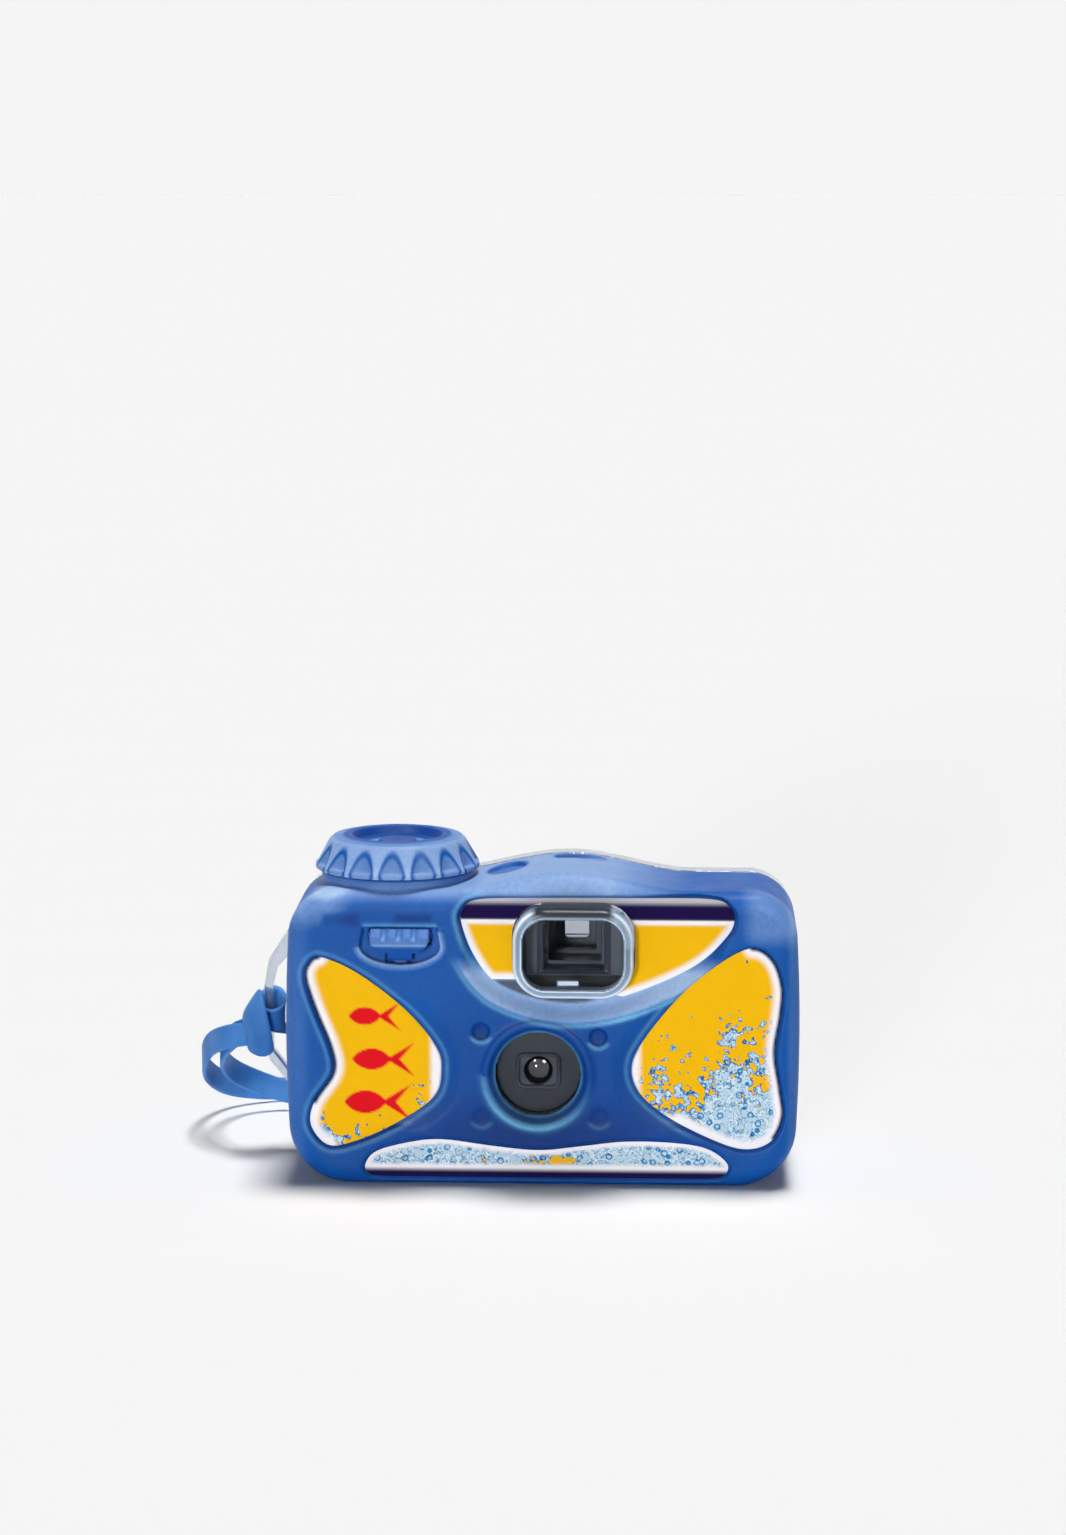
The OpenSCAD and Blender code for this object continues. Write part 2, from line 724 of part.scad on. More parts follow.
module trigger_lever() {
    half = trigger_w / 2;
    nose_half = 3;
    groove_step = 3.6;
    color(front_blue, 0.8) translate([trigger_x, trigger_y, trigger_z]) difference() {
        union() {
            rod_x(0, 0, -half, half, trigger_hub_r);
            translate([-half, 0, 0]) rotate([90, 0, 90]) linear_extrude(trigger_w) polygon([
                [0, 1.9], [-3.4, 1.9], [-6, 0.4], [-6.5, -2.4], [-5.8, -3.5], [-4.6, -3.5],
                [-3.4, -2.7], [-1.5, -2], [0, -1.3]
            ]);
            // Nose that presses the plunger
            translate([-nose_half, 0, 0]) rotate([90, 0, 90]) linear_extrude(2 * nose_half) polygon([
                [-3.4, -2], [-3, -5.4], [-2.4, -5.9], [-1.6, -5.7], [-1.5, -2]
            ]);
        }
        rod_x(0, 0, -half - past, half + past, trigger_pin_d / 2 + run);
        // Three finger grooves on the sloping face
        for (i = [-1:1])
            translate([groove_step * i, -5.1, 1.4]) rotate([-35, 0, 0]) scale([1, 1.6, 1]) sphere(1.1);
    }
}

module trigger_pin() {
    color(front_blue) translate([trigger_x, 0, 0])
        rod_x(trigger_y, trigger_z, -pin_half, pin_half, trigger_pin_d / 2);
}

module release_plunger() {
    groove_half = plunger_ring_section + slip / 2;
    color("whitesmoke") difference() {
        union() {
            rod_y(trigger_x, plunger_z, head_y, head_y + head_t, plunger_spring_r + coil_wire / 2);
            rod_y(trigger_x, plunger_z, head_y + head_t, plunger_tip_y, plunger_r);
        }
        // Groove of the O-ring
        translate([trigger_x, plunger_ring_y, plunger_z]) difference() {
            rod_y(0, 0, -groove_half, groove_half, plunger_r + past);
            rod_y(0, 0, -past, past, plunger_r - 2 * plunger_ring_section);
        }
    }
}

module plunger_o_ring() {
    color("black") translate([trigger_x, plunger_ring_y, plunger_z]) rotate([90, 0, 0])
        o_ring(plunger_r - plunger_ring_section + press, plunger_ring_section);
}

// Coil springs

function coil_points(r, pitch, turns) = [
    for (i = [0:round(turns * coil_rings)])
        let (a = 360 * i / coil_rings) [r * cos(a), r * sin(a), pitch * i / coil_rings]
];
// Least gap between wires that are half a turn or more apart
function coil_gap(p, wire) = min([
    for (i = [0:len(p) - 1], j = [i + coil_rings / 2:1:len(p) - 1]) norm(p[i] - p[j])
]) - wire;
module coil(r, wire, pitch, turns) {
    p = coil_points(r, pitch, turns);
    n = len(p);
    echo(coil_gap = coil_gap(p, wire));
    skin = [
        for (i = [0:n - 1], k = [0:coil_sides - 1])
            let (a = 360 * i / coil_rings, b = 360 * k / coil_sides, out = [cos(a), sin(a), 0])
            p[i] + wire / 2 * (cos(b) * out + sin(b) * [0, 0, 1])
    ];
    sides = [
        for (i = [0:n - 2], k = [0:coil_sides - 1])
            let (l = (k + 1) % coil_sides, a = i * coil_sides, b = a + coil_sides)
            each [[a + k, a + l, b + l], [a + k, b + l, b + k]]
    ];
    last = (n - 1) * coil_sides;
    ends = [[for (k = [coil_sides - 1:-1:0]) k], [for (k = [0:coil_sides - 1]) last + k]];
    polyhedron(skin, concat(ends, sides), convexity = 10);
}

module plunger_spring() {
    turns = 2.5;
    seat = guide_y + seat_d - press;
    rest = seat - head_y - head_t - press - coil_wire;
    color("silver") translate([trigger_x, seat - coil_wire / 2, plunger_z]) rotate([90, 0, 0])
        coil(plunger_spring_r, coil_wire, rest / turns, turns);
}

module striker_spring() {
    color("silver") translate([striker_x, striker_y, deck_top + gap]) coil(1.9, coil_wire, 0.95, 4);
}

module shutter_spring() {
    wire = 0.3;
    color("silver") translate([blade_x, blade_y - 0.25, blade_z]) rotate([90, 0, 0])
        coil(1.5, wire, 0.75, 1.75);
}

// Labels

module label(outline, y) {
    plate(y - label_t, y) polygon(drawn_in(outline, gap));
}
module label_left() {
    color("gold") label(left_outline, floor_y);
}
module label_right() {
    color("gold") label(right_outline, floor_y);
}
module label_bottom() {
    color("lightblue") label(bottom_outline, floor_y);
}
module label_top() {
    color("gold") difference() {
        label(top_outline, top_floor_y);
        plate(front_y - past, inner_y) polygon(round_rect(vf_x, vf_z, vf_w, vf_h, vf_corner_r, -gap));
        // Straight lower edge, above the foot of the pocket
        block([-body_w / 2, front_y - past, 0], [body_w / 2, inner_y, label_top_low]);
    }
}
module label_back() {
    color("gold") plate(camera_back_y + plate_t, camera_back_y + plate_t + label_t)
        polygon(round_rect(
            (camera_left + camera_right) / 2, lens_z, back_label_w, back_label_h, back_label_r
        ));
}

// Strap

// Open curve through the points, with n steps between two of them
function along(p, n) = let (m = len(p)) concat([
    for (i = [0:m - 2], k = [0:n - 1])
        blend(p[max(i - 1, 0)], p[i], p[i + 1], p[min(i + 2, m - 1)], k / n)
], [p[m - 1]]);
function unit(v) = v / norm(v);
// Section of the strap, in shares of its width and thickness
band = [
    [0.5, 0.3], [0.44, 0.5], [-0.44, 0.5], [-0.5, 0.3], [-0.5, -0.3], [-0.44, -0.5], [0.44, -0.5], [0.5, -0.3]
];

module wrist_strap() {
    line = along(strap_route, 2);
    n = len(line);
    sides = len(band);
    skin = [
        for (i = [0:n - 1])
            let (
                t = unit(line[min(i + 1, n - 1)] - line[max(i - 1, 0)]),
                flat = unit(cross(t, [0, 0, 1])),
                tall = cross(flat, t)
            )
            each [for (q = band) line[i] + q[0] * strap_w * tall + q[1] * strap_t * flat]
    ];
    faces = [
        for (i = [0:n - 2], k = [0:sides - 1])
            let (l = (k + 1) % sides, a = i * sides, b = a + sides)
            each [[a + k, b + l, a + l], [a + k, b + k, b + l]]
    ];
    ends = [[for (k = [0:sides - 1]) k], [for (k = [sides - 1:-1:0]) (n - 1) * sides + k]];
    color(front_blue) polyhedron(skin, concat(ends, faces), convexity = 10);
}

module strap_knot() {
    bar_x = -body_w / 2 - loop_reach + loop_bar / 2;
    bar_y = loop_y + loop_t / 2;
    color(front_blue) difference() {
        union() {
            // Flared turn around the bar, flap over its front and the side where the strap leaves
            translate([bar_x + knot_in, bar_y, knot_z - strap_w / 2])
                cylinder(strap_w + 3, knot_r, knot_rim_r);
            plate(knot_flap_y, knot_flap_y + knot_flap_t) translate([bar_x, knot_z]) polygon(knot_flap);
            block([bar_x - 5.4, bar_y - 4.4, knot_z - 7.5], [bar_x - 1.5, bar_y + 4.4, knot_z + 2]);
        }
        block(
            [bar_x - loop_bar / 2 - knot_gap, loop_y - knot_gap, loop_low],
            [bar_x + loop_bar / 2 + knot_gap, loop_y + loop_t + knot_gap, loop_high]
        );
    }
}

// Camera inside the housing

camera_black = [0.16, 0.16, 0.17];

module camera_chassis() {
    box_w = 40;
    box_h = 28;
    frame_w = 36.4;
    frame_h = 24.4;
    chamber_r = cartridge_r + 2 * gap;
    chamber_wall = 1;
    aperture_r = 1.8;
    color(camera_black) difference() {
        union() {
            // Decks and end walls
            block([camera_left, chassis_y, camera_z], [camera_right, camera_back_y, camera_z + plate_t]);
            block([camera_left, chassis_y, deck_z], [camera_right, camera_back_y, deck_top]);
            for (x = [camera_left, camera_right - plate_t])
                block([x, chassis_y, camera_z], [x + plate_t, camera_back_y, deck_top]);
            // Film wall, light box and shutter plate
            block([knob_x + 13.4, gate_y - plate_t, camera_z], [supply_x - 11, gate_y, deck_z + 0.5]);
            block(
                [lens_x - box_w / 2, chassis_y + 3, lens_z - box_h / 2],
                [lens_x + box_w / 2, gate_y, lens_z + box_h / 2]
            );
            rod_y(blade_x, blade_z, blade_y - 1.9, chassis_y + 3.5, dial_pin_r);
            // Front half of the cartridge chamber
            difference() {
                rod_z(knob_x, cartridge_y, camera_z + root, deck_z + root, chamber_r + chamber_wall);
                rod_z(knob_x, cartridge_y, camera_z, deck_z + past, chamber_r);
                block(
                    [knob_x - 2 * chamber_r, cartridge_y - 2, camera_z],
                    [knob_x + 2 * chamber_r, cartridge_y + 2 * chamber_r, deck_z + 2 * past]
                );
            }
            // Posts of the parts on the top deck
            rod_z(dial_x, dial_y, deck_top - root, dial_z - 2 * slip, post_r);
            rod_z(dial_x, dial_y, deck_top, dial_z + dial_t + 2 * gap, dial_pin_r);
            rod_z(striker_x, striker_y, deck_top - root, lever_z + lever_t + gap, lever_pin_r);
            rod_z(release_x, release_y, deck_top - root, lever_z - 2 * slip, post_r);
            rod_z(release_x, release_y, deck_top, lever_z + lever_t + gap, lever_pin_r);
        }
        // Light box, film gate and aperture
        block(
            [lens_x - frame_w / 2, chassis_y + 4.5, lens_z - frame_h / 2],
            [lens_x + frame_w / 2, gate_y + past, lens_z + frame_h / 2]
        );
        rod_y(lens_x, lens_z, chassis_y, chassis_y + 6, aperture_r);
        // Openings for the spools and the sprocket
        rod_z(knob_x, cartridge_y, camera_z - past, camera_z + plate_t + 0.1, spool_r + run);
        rod_z(knob_x, cartridge_y, deck_z - 0.1, deck_top + past, spool_r + 0.4);
        rod_z(sprocket_x, sprocket_y, deck_z - past, deck_top + past, sprocket_shaft_r + run);
        rod_z(supply_x, supply_y, camera_z + 0.4, deck_top + past, supply_pin_r + run);
        block(
            [sprocket_x - sprocket_r - 0.8, gate_y - plate_t - past, sprocket_z - sprocket_room],
            [sprocket_x + sprocket_r + 0.8, gate_y + past, sprocket_z + sprocket_t + sprocket_room]
        );
        // Notch for the tail of the shutter blade
        block(
            [blade_x - 3, chassis_y - past, deck_z - past],
            [blade_x + 9, chassis_y + 3.2, deck_top + past]
        );
    }
}

module camera_front_cover() {
    ring_y = lens_window_y + lens_window_t + seal_t;
    color(camera_black) difference() {
        union() {
            block([camera_left, cover_y, camera_z], [camera_right, chassis_y, deck_top]);
            rod_y(lens_x, lens_z, ring_y, cover_y + root, lens_window_r);
        }
        rod_y(lens_x, lens_z, ring_y - past, cover_y, lens_d / 2 + root);
        rod_y(lens_x, lens_z, cover_y - past, cover_y + 1, taking_d / 2 + slip);
        rod_y(lens_x, lens_z, cover_y, chassis_y + past, taking_d / 2 - 0.9);
    }
}

module camera_back_cover() {
    pad_w = 40;
    pad_h = 34;
    color(camera_black) union() {
        block([camera_left, camera_back_y, camera_z], [camera_right, camera_back_y + plate_t, deck_top]);
        // Pressure pad behind the film
        block(
            [lens_x - pad_w / 2, film_y + film_in, lens_z - pad_h / 2],
            [lens_x + pad_w / 2, camera_back_y + root, lens_z + pad_h / 2]
        );
    }
}

module camera_top_cover() {
    right = vf_x - tunnel_w / 2 - 0.7;
    top = cover_top;
    skin_t = 1.2;
    color(camera_black) difference() {
        block([camera_left, chassis_y, deck_top], [right, camera_back_y + plate_t, top]);
        block(
            [camera_left + skin_t, chassis_y + skin_t, deck_top - past],
            [right - skin_t, camera_back_y + plate_t - skin_t, top - skin_t]
        );
        rod_z(knob_x, cartridge_y, top - 3, top + past, wheel_hub_r + 1.3);
        rod_z(counter_view[0], counter_view[1], top - 3, top + past, 3.2);
        rod_y(trigger_x, plunger_z, chassis_y - past, chassis_y + 2, plunger_r + 0.6);
    }
}

module taking_lens() {
    dome_r = 5.2;
    edge = asin(taking_d / 2 / dome_r);
    dome = [for (i = [0:8]) let (a = edge * i / 8) [dome_r * sin(a), dome_r * (1 - cos(a))]];
    color(clear_tint, 0.6) translate([lens_x, cover_y - 1.3, lens_z]) rotate([-90, 0, 0])
        rotate_extrude() polygon(concat(dome, [[taking_d / 2, 2.3], [0, 2.3]]));
}

module lens_retainer() {
    front = cover_y - 1.5;
    frame_w = 11;
    frame_h = 9;
    frame_r = 2;
    frame_out = 0.6;
    color("black") difference() {
        union() {
            rod_y(lens_x, lens_z, front, cover_y, lens_d / 2 + gap);
            // Square frame around the lens
            plate(front - frame_out, front + root)
                polygon(round_rect(lens_x, lens_z, frame_w, frame_h, frame_r));
        }
        rod_y(lens_x, lens_z, front - frame_out - press, cover_y, frame_h / 2 - 0.3, taking_d / 2 - gap);
        rod_y(lens_x, lens_z, front - past, cover_y + past, taking_d / 2 + slip);
    }
}

// Shutter, striker and release

module shutter_blade() {
    reach = [lens_x - blade_x, lens_z - blade_z];
    tail_w = 2.4;
    color("gray") difference() {
        union() {
            rod_y(lens_x, lens_z, blade_y, blade_y + blade_t, 3.6);
            rod_y(blade_x, blade_z, blade_y, blade_y + blade_t, 2.2);
            translate([blade_x, blade_y, blade_z]) rotate([0, -atan2(reach[1], reach[0]), 0])
                block([0, 0, -1.5], [norm(reach), blade_t, 1.5]);
            block(
                [blade_x - tail_w / 2, blade_y, blade_z],
                [blade_x + tail_w / 2, blade_y + blade_t, lever_z + lever_t - 2 * slip]
            );
        }
        rod_y(blade_x, blade_z, blade_y - past, blade_y + past, dial_pin_r + run);
    }
}

// Flat lever arm from one point to another
module lever_arm(from, to, w) {
    v = to - from;
    translate([from[0], from[1], lever_z]) rotate([0, 0, atan2(v[1], v[0])])
        block([0, -w / 2, 0], [norm(v), w / 2, lever_t]);
    rod_z(to[0], to[1], lever_z, lever_z + lever_t, w / 2 + 0.15);
}

module striker_lever() {
    hub = [striker_x, striker_y];
    color("gray") difference() {
        union() {
            rod_z(striker_x, striker_y, lever_z, lever_z + lever_t, 2.6);
            lever_arm(hub, hub + [3.5, -6.4], 1.8);
        }
        rod_z(striker_x, striker_y, lever_z - past, lever_z + lever_t + past, lever_pin_r + run);
    }
}

module release_lever() {
    hub = [release_x, release_y];
    arm_w = 2.2;
    push = [trigger_x - 0.5, plunger_tip_y + gap + arm_w / 2];
    color("gray") difference() {
        union() {
            rod_z(release_x, release_y, lever_z, lever_z + lever_t, 2.4);
            lever_arm(hub, push, arm_w);
            lever_arm(hub, hub + [1.1, 2.5], 1.6);
        }
        rod_z(release_x, release_y, lever_z - past, lever_z + lever_t + past, lever_pin_r + run);
    }
}

// Film transport

sprocket_shaft_r = 1.8;
module sprocket() {
    teeth = 8;
    foot = 0.7;
    color("whitesmoke") translate([sprocket_x, sprocket_y, 0]) {
        difference() {
            rod_z(0, 0, sprocket_z, sprocket_z + sprocket_t, sprocket_r);
            for (i = [0:teeth - 1])
                rotate([0, 0, 360 * (i + 0.5) / teeth])
                    rod_z(sprocket_r + 0.6, 0, sprocket_z - past, sprocket_z + sprocket_t + past, 1.8);
        }
        rod_z(0, 0, sprocket_z - foot, dial_z + dial_t, sprocket_shaft_r);
        rod_z(0, 0, deck_top + 0.1, deck_top + 1.1, 3);
        // Tooth that moves the counter on
        block([0, -0.4, dial_z], [2.3, 0.4, dial_z + dial_t]);
    }
}

module counter_dial() {
    teeth = 32;
    color("white") difference() {
        rod_z(dial_x, dial_y, dial_z, dial_z + dial_t, dial_r);
        rod_z(dial_x, dial_y, dial_z - past, dial_z + dial_t + past, dial_pin_r + run);
        for (i = [0:teeth - 1])
            translate([dial_x, dial_y, 0]) rotate([0, 0, 360 * i / teeth])
                rod_z(dial_r + 0.15, 0, dial_z - past, dial_z + dial_t + past, 0.4);
    }
}

module film_cartridge() {
    bottom = camera_z + plate_t + 0.5;
    top = deck_z - 0.5;
    rim_h = 1.2;
    color("goldenrod") difference() {
        union() {
            rod_z(knob_x, cartridge_y, bottom, top, cartridge_r);
            for (z = [bottom, top - rim_h])
                rod_z(knob_x, cartridge_y, z, z + rim_h, cartridge_r + 0.25);
            // Mouth that the film goes in at
            block([knob_x, film_y - 1.7, bottom + 1.5], [knob_x + 12.8, film_y + 1.5, top - 1.5]);
        }
        rod_z(knob_x, cartridge_y, bottom + 0.8, top - 0.8, cartridge_r - 0.6);
        rod_z(knob_x, cartridge_y, bottom - past, top + past, spool_r + run);
        block(
            [knob_x - 1, film_y - 0.4, lens_z - film_w / 2 - gap],
            [knob_x + 14, film_y + 0.4, lens_z + film_w / 2 + gap]
        );
    }
}

module cartridge_spool() {
    top = wheel_z - gap;
    slot_half = drive_w / 2 + 2 * slip;
    color([0.1, 0.1, 0.1]) difference() {
        rod_z(knob_x, cartridge_y, camera_z + 0.2, top, spool_r);
        translate([knob_x, cartridge_y, 0])
            block(
                [-slot_half, -drive_t / 2 - slip, wheel_z - 2.5],
                [slot_half, drive_t / 2 + slip, top + past]
            );
    }
}

module supply_spool() {
    flange_t = 1;
    low = lens_z - film_w / 2 - root;
    high = lens_z + film_w / 2 + root;
    color([0.1, 0.1, 0.1]) translate([supply_x, supply_y, 0]) union() {
        rod_z(0, 0, camera_z + 0.6, deck_top - 2 * slip, supply_pin_r);
        rod_z(0, 0, low - flange_t, high + flange_t, supply_core_r);
        for (z = [low - flange_t, high]) rod_z(0, 0, z, z + flange_t, film_roll_r + 2 * slip);
    }
}

module film_roll() {
    color([0.30, 0.22, 0.18]) difference() {
        rod_z(supply_x, supply_y, lens_z - film_w / 2, lens_z + film_w / 2, film_roll_r);
        rod_z(supply_x, supply_y, lens_z - film_w, lens_z + film_w, supply_core_r + run);
    }
}

module film_strip() {
    pitch = 4.75;
    color([0.30, 0.22, 0.18]) difference() {
        block(
            [knob_x + 6, film_y - film_t / 2, lens_z - film_w / 2],
            [supply_x, film_y + film_t / 2, lens_z + film_w / 2]
        );
        for (x = [knob_x + 8:pitch:supply_x - 3], side = [-1, 1])
            block(
                [x, film_y - past, lens_z + side * (film_w / 2 - 3.4) - 1.4],
                [x + 2, film_y + past, lens_z + side * (film_w / 2 - 3.4) + 1.4]
            );
    }
}

// Viewfinder of the camera

tunnel_front = inner_y + vf_flange + gap;
tunnel_back = camera_back_y + plate_t;
module viewfinder_tunnel() {
    mask_w = 24;
    color(camera_black) difference() {
        union() {
            block(
                [vf_x - tunnel_w / 2, tunnel_front, deck_top],
                [vf_x + tunnel_w / 2, tunnel_back, deck_top + tunnel_h]
            );
            // Mask around its front
            block(
                [vf_x - mask_w / 2, tunnel_front, deck_top + slip],
                [vf_x + mask_w / 2, cover_y - slip, deck_top + tunnel_h + 1]
            );
        }
        block(
            [vf_x - tunnel_w / 2 + tunnel_wall, tunnel_front - past, deck_top + tunnel_wall],
            [vf_x + tunnel_w / 2 - tunnel_wall, tunnel_back - 2, deck_top + tunnel_h - tunnel_wall]
        );
        plate(tunnel_back - 3, tunnel_back + past)
            polygon(round_rect(vf_x, eyepiece_z, eyepiece_w, eyepiece_h, eyepiece_r));
    }
}

module viewfinder_front_lens() {
    w = tunnel_w - 2 * tunnel_wall - 2 * slip;
    h = tunnel_h - 2 * tunnel_wall - 2 * slip;
    front = cover_y + 3;
    t = 1.6;
    color(clear_tint, 0.5)
        block([vf_x - w / 2, front, vf_z - h / 2], [vf_x + w / 2, front + t, vf_z + h / 2]);
}

module viewfinder_rear_lens() {
    t = 1.8;
    color(clear_tint, 0.5) plate(tunnel_back - t, tunnel_back)
        polygon(round_rect(vf_x, eyepiece_z, eyepiece_w, eyepiece_h, eyepiece_r, slip));
}

front_shell();
back_shell();
shell_gasket();
lens_window();
lens_window_seal();
viewfinder_window();
winding_knob();
knob_shaft();
knob_o_ring();
knob_retaining_clip();
trigger_lever();
trigger_pin();
release_plunger();
plunger_o_ring();
plunger_spring();
label_left();
label_right();
label_top();
label_bottom();
label_back();
wrist_strap();
strap_knot();
camera_chassis();
camera_front_cover();
camera_back_cover();
camera_top_cover();
taking_lens();
lens_retainer();
shutter_blade();
shutter_spring();
striker_lever();
striker_spring();
release_lever();
sprocket();
counter_dial();
wind_wheel();
film_cartridge();
cartridge_spool();
supply_spool();
film_roll();
film_strip();
viewfinder_tunnel();
viewfinder_front_lens();
viewfinder_rear_lens();
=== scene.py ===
import math
from functools import reduce

import bpy
import numpy as np
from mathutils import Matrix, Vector
from mathutils.geometry import delaunay_2d_cdt


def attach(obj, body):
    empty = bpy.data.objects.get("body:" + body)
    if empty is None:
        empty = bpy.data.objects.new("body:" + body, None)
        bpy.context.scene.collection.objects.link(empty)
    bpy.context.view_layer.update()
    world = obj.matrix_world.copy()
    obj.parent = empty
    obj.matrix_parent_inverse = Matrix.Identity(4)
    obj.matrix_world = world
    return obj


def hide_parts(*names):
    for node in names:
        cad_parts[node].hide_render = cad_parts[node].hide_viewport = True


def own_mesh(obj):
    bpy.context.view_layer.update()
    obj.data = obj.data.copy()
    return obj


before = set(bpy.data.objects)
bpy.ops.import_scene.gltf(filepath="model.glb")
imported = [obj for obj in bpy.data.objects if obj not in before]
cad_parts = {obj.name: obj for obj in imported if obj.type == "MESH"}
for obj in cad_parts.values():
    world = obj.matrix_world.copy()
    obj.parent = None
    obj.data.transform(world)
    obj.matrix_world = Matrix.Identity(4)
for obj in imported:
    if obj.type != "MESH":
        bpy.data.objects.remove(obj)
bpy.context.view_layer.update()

scene = bpy.context.scene
scene.view_settings.view_transform = "Standard"
MM = 0.001

# Camera at the photograph's viewing angle, placed in metres
CAMERA_PLACE = (0.0306, -0.8764, 0.2405)
CAMERA_TILT, CAMERA_TURN = 80.864, 2.188
SENSOR_HEIGHT, FOCAL_LENGTH = 24.0, 57.07
cam_data = bpy.data.cameras.new("camera")
cam_data.sensor_fit = "VERTICAL"
cam_data.sensor_height = SENSOR_HEIGHT
cam_data.lens = FOCAL_LENGTH
camera = bpy.data.objects.new("camera", cam_data)
camera.location = CAMERA_PLACE
camera.rotation_euler = (math.radians(CAMERA_TILT), 0.0, math.radians(CAMERA_TURN))
scene.collection.objects.link(camera)
scene.camera = camera

# Sizes shared with the solids, in millimetres: x to the right, y to the back, z up
BODY_W, BODY_H = 124.0, 72.5
FRONT_Y, INNER_Y, PART_Y, BACK_Y = -22.0, -18.4, 8.0, 22.0
WALL, EDGE_R, BACK_EDGE_R = 1.8, 5.0, 9.0
LOW_R, HIGH_R, SIDE_BOW = 14.0, 11.0, 1.5
HUMP_RISE, HUMP_X, HUMP_HALF = 4.5, 6.0, 32.0
LENS_X, LENS_Z, LENS_R = -0.9, 28.0, 10.0
BEZEL_R, BEZEL_OUT = 13.0, 1.0
VF_X, VF_Z, VF_W, VF_H, VF_R = 7.6, 58.75, 29.0, 22.0, 8.0
KNOB_X, KNOB_Z, KNOB_R, KNOB_H = -36.0, 75.0, 20.0, 8.0
SHOULDER_R, RING_R, FLUTES = 16.2, 13.2, 16
COLLAR_R, COLLAR_TOP = 18.5, 74.6
TRIG_X, TRIG_Y, TRIG_Z, PLUNGER_Z = -34.0, -19.2, 61.8, 57.0
POCKET_TOP, TOP_LABEL_LOW = 64.0, 51.0
LABEL_SINK, TOP_SINK = 1.4, 2.4
LOOP_Y, LOOP_HALF = 12.0, 2.0


# Mesh helpers

def new_piece(name, verts, faces, look, body, slot, node_name, attrs=None, smooth=True):
    """Piece from points in millimetres that rides on a body and stands for a node of the solids."""
    mesh = bpy.data.meshes.new(name)
    mesh.from_pydata((np.asarray(verts, float) * MM).tolist(), [], [tuple(int(i) for i in f) for f in faces])
    mesh.validate()
    if smooth:
        mesh.polygons.foreach_set("use_smooth", [True] * len(mesh.polygons))
    for key, values in (attrs or {}).items():
        layer = mesh.attributes.new(key, "FLOAT", "POINT")
        layer.data.foreach_set("value", np.asarray(values, np.float32))
    mesh.materials.append(look)
    mesh.update()
    piece = bpy.data.objects.new(name, mesh)
    scene.collection.objects.link(piece)
    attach(piece, body)
    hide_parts(node_name)
    return piece


CORNERS = [(i, j, k) for i in (0, 1) for j in (0, 1) for k in (0, 1)]


def cell_points(values, cells):
    """Middle of the places where each cell's edges cross from negative to positive."""
    got = np.stack([values[cells[:, 0] + i, cells[:, 1] + j, cells[:, 2] + k] for i, j, k in CORNERS], 1)
    total = np.zeros((len(cells), 3))
    hits = np.zeros(len(cells))
    for a in range(8):
        for b in range(a + 1, 8):
            pa, pb = np.array(CORNERS[a]), np.array(CORNERS[b])
            if abs(pa - pb).sum() != 1:
                continue
            va, vb = got[:, a], got[:, b]
            cross = (va < 0) != (vb < 0)
            t = np.where(cross, va / np.where(cross, va - vb, 1.0), 0.0)
            total += np.where(cross[:, None], pa + t[:, None] * (pb - pa), 0.0)
            hits += cross
    return cells + total / hits[:, None]


def surface_nets(values, lo, step):
    """Closed quads round the negative side of a grid of values."""
    solid_side = values < 0
    nx, ny, nz = values.shape
    count = np.zeros((nx - 1, ny - 1, nz - 1), np.int8)
    for i, j, k in CORNERS:
        count += solid_side[i:nx - 1 + i, j:ny - 1 + j, k:nz - 1 + k]
    cells = np.argwhere((count > 0) & (count < 8))
    index = np.full(count.shape, -1, np.int64)
    index[tuple(cells.T)] = np.arange(len(cells))
    quads = []
    for axis in range(3):
        u, v = (axis + 1) % 3, (axis + 2) % 3
        a = solid_side.take(range(0, values.shape[axis] - 1), axis)
        b = solid_side.take(range(1, values.shape[axis]), axis)
        edge = np.argwhere(a != b)
        keep = (edge[:, u] > 0) & (edge[:, u] < values.shape[u] - 1)
        keep &= (edge[:, v] > 0) & (edge[:, v] < values.shape[v] - 1)
        edge = edge[keep]
        ring = []
        for du, dv in ((-1, -1), (0, -1), (0, 0), (-1, 0)):
            cell = edge.copy()
            cell[:, u] += du
            cell[:, v] += dv
            ring.append(index[tuple(cell.T)])
        quad = np.stack(ring, 1)
        flip = ~a[tuple(edge.T)]
        quad[flip] = quad[flip][:, ::-1]
        quads.append(quad)
    return lo + step * cell_points(values, cells), np.concatenate(quads)


# Settling of a mesh onto its surface: rounds, probe in millimetres, and limits on each move
SETTLE_ROUNDS, PROBE, LEAST_SLOPE, LONGEST_MOVE, SETTLE_SHARE = 2, 0.08, 0.09, 0.45, 0.8
MARGIN = 1.5


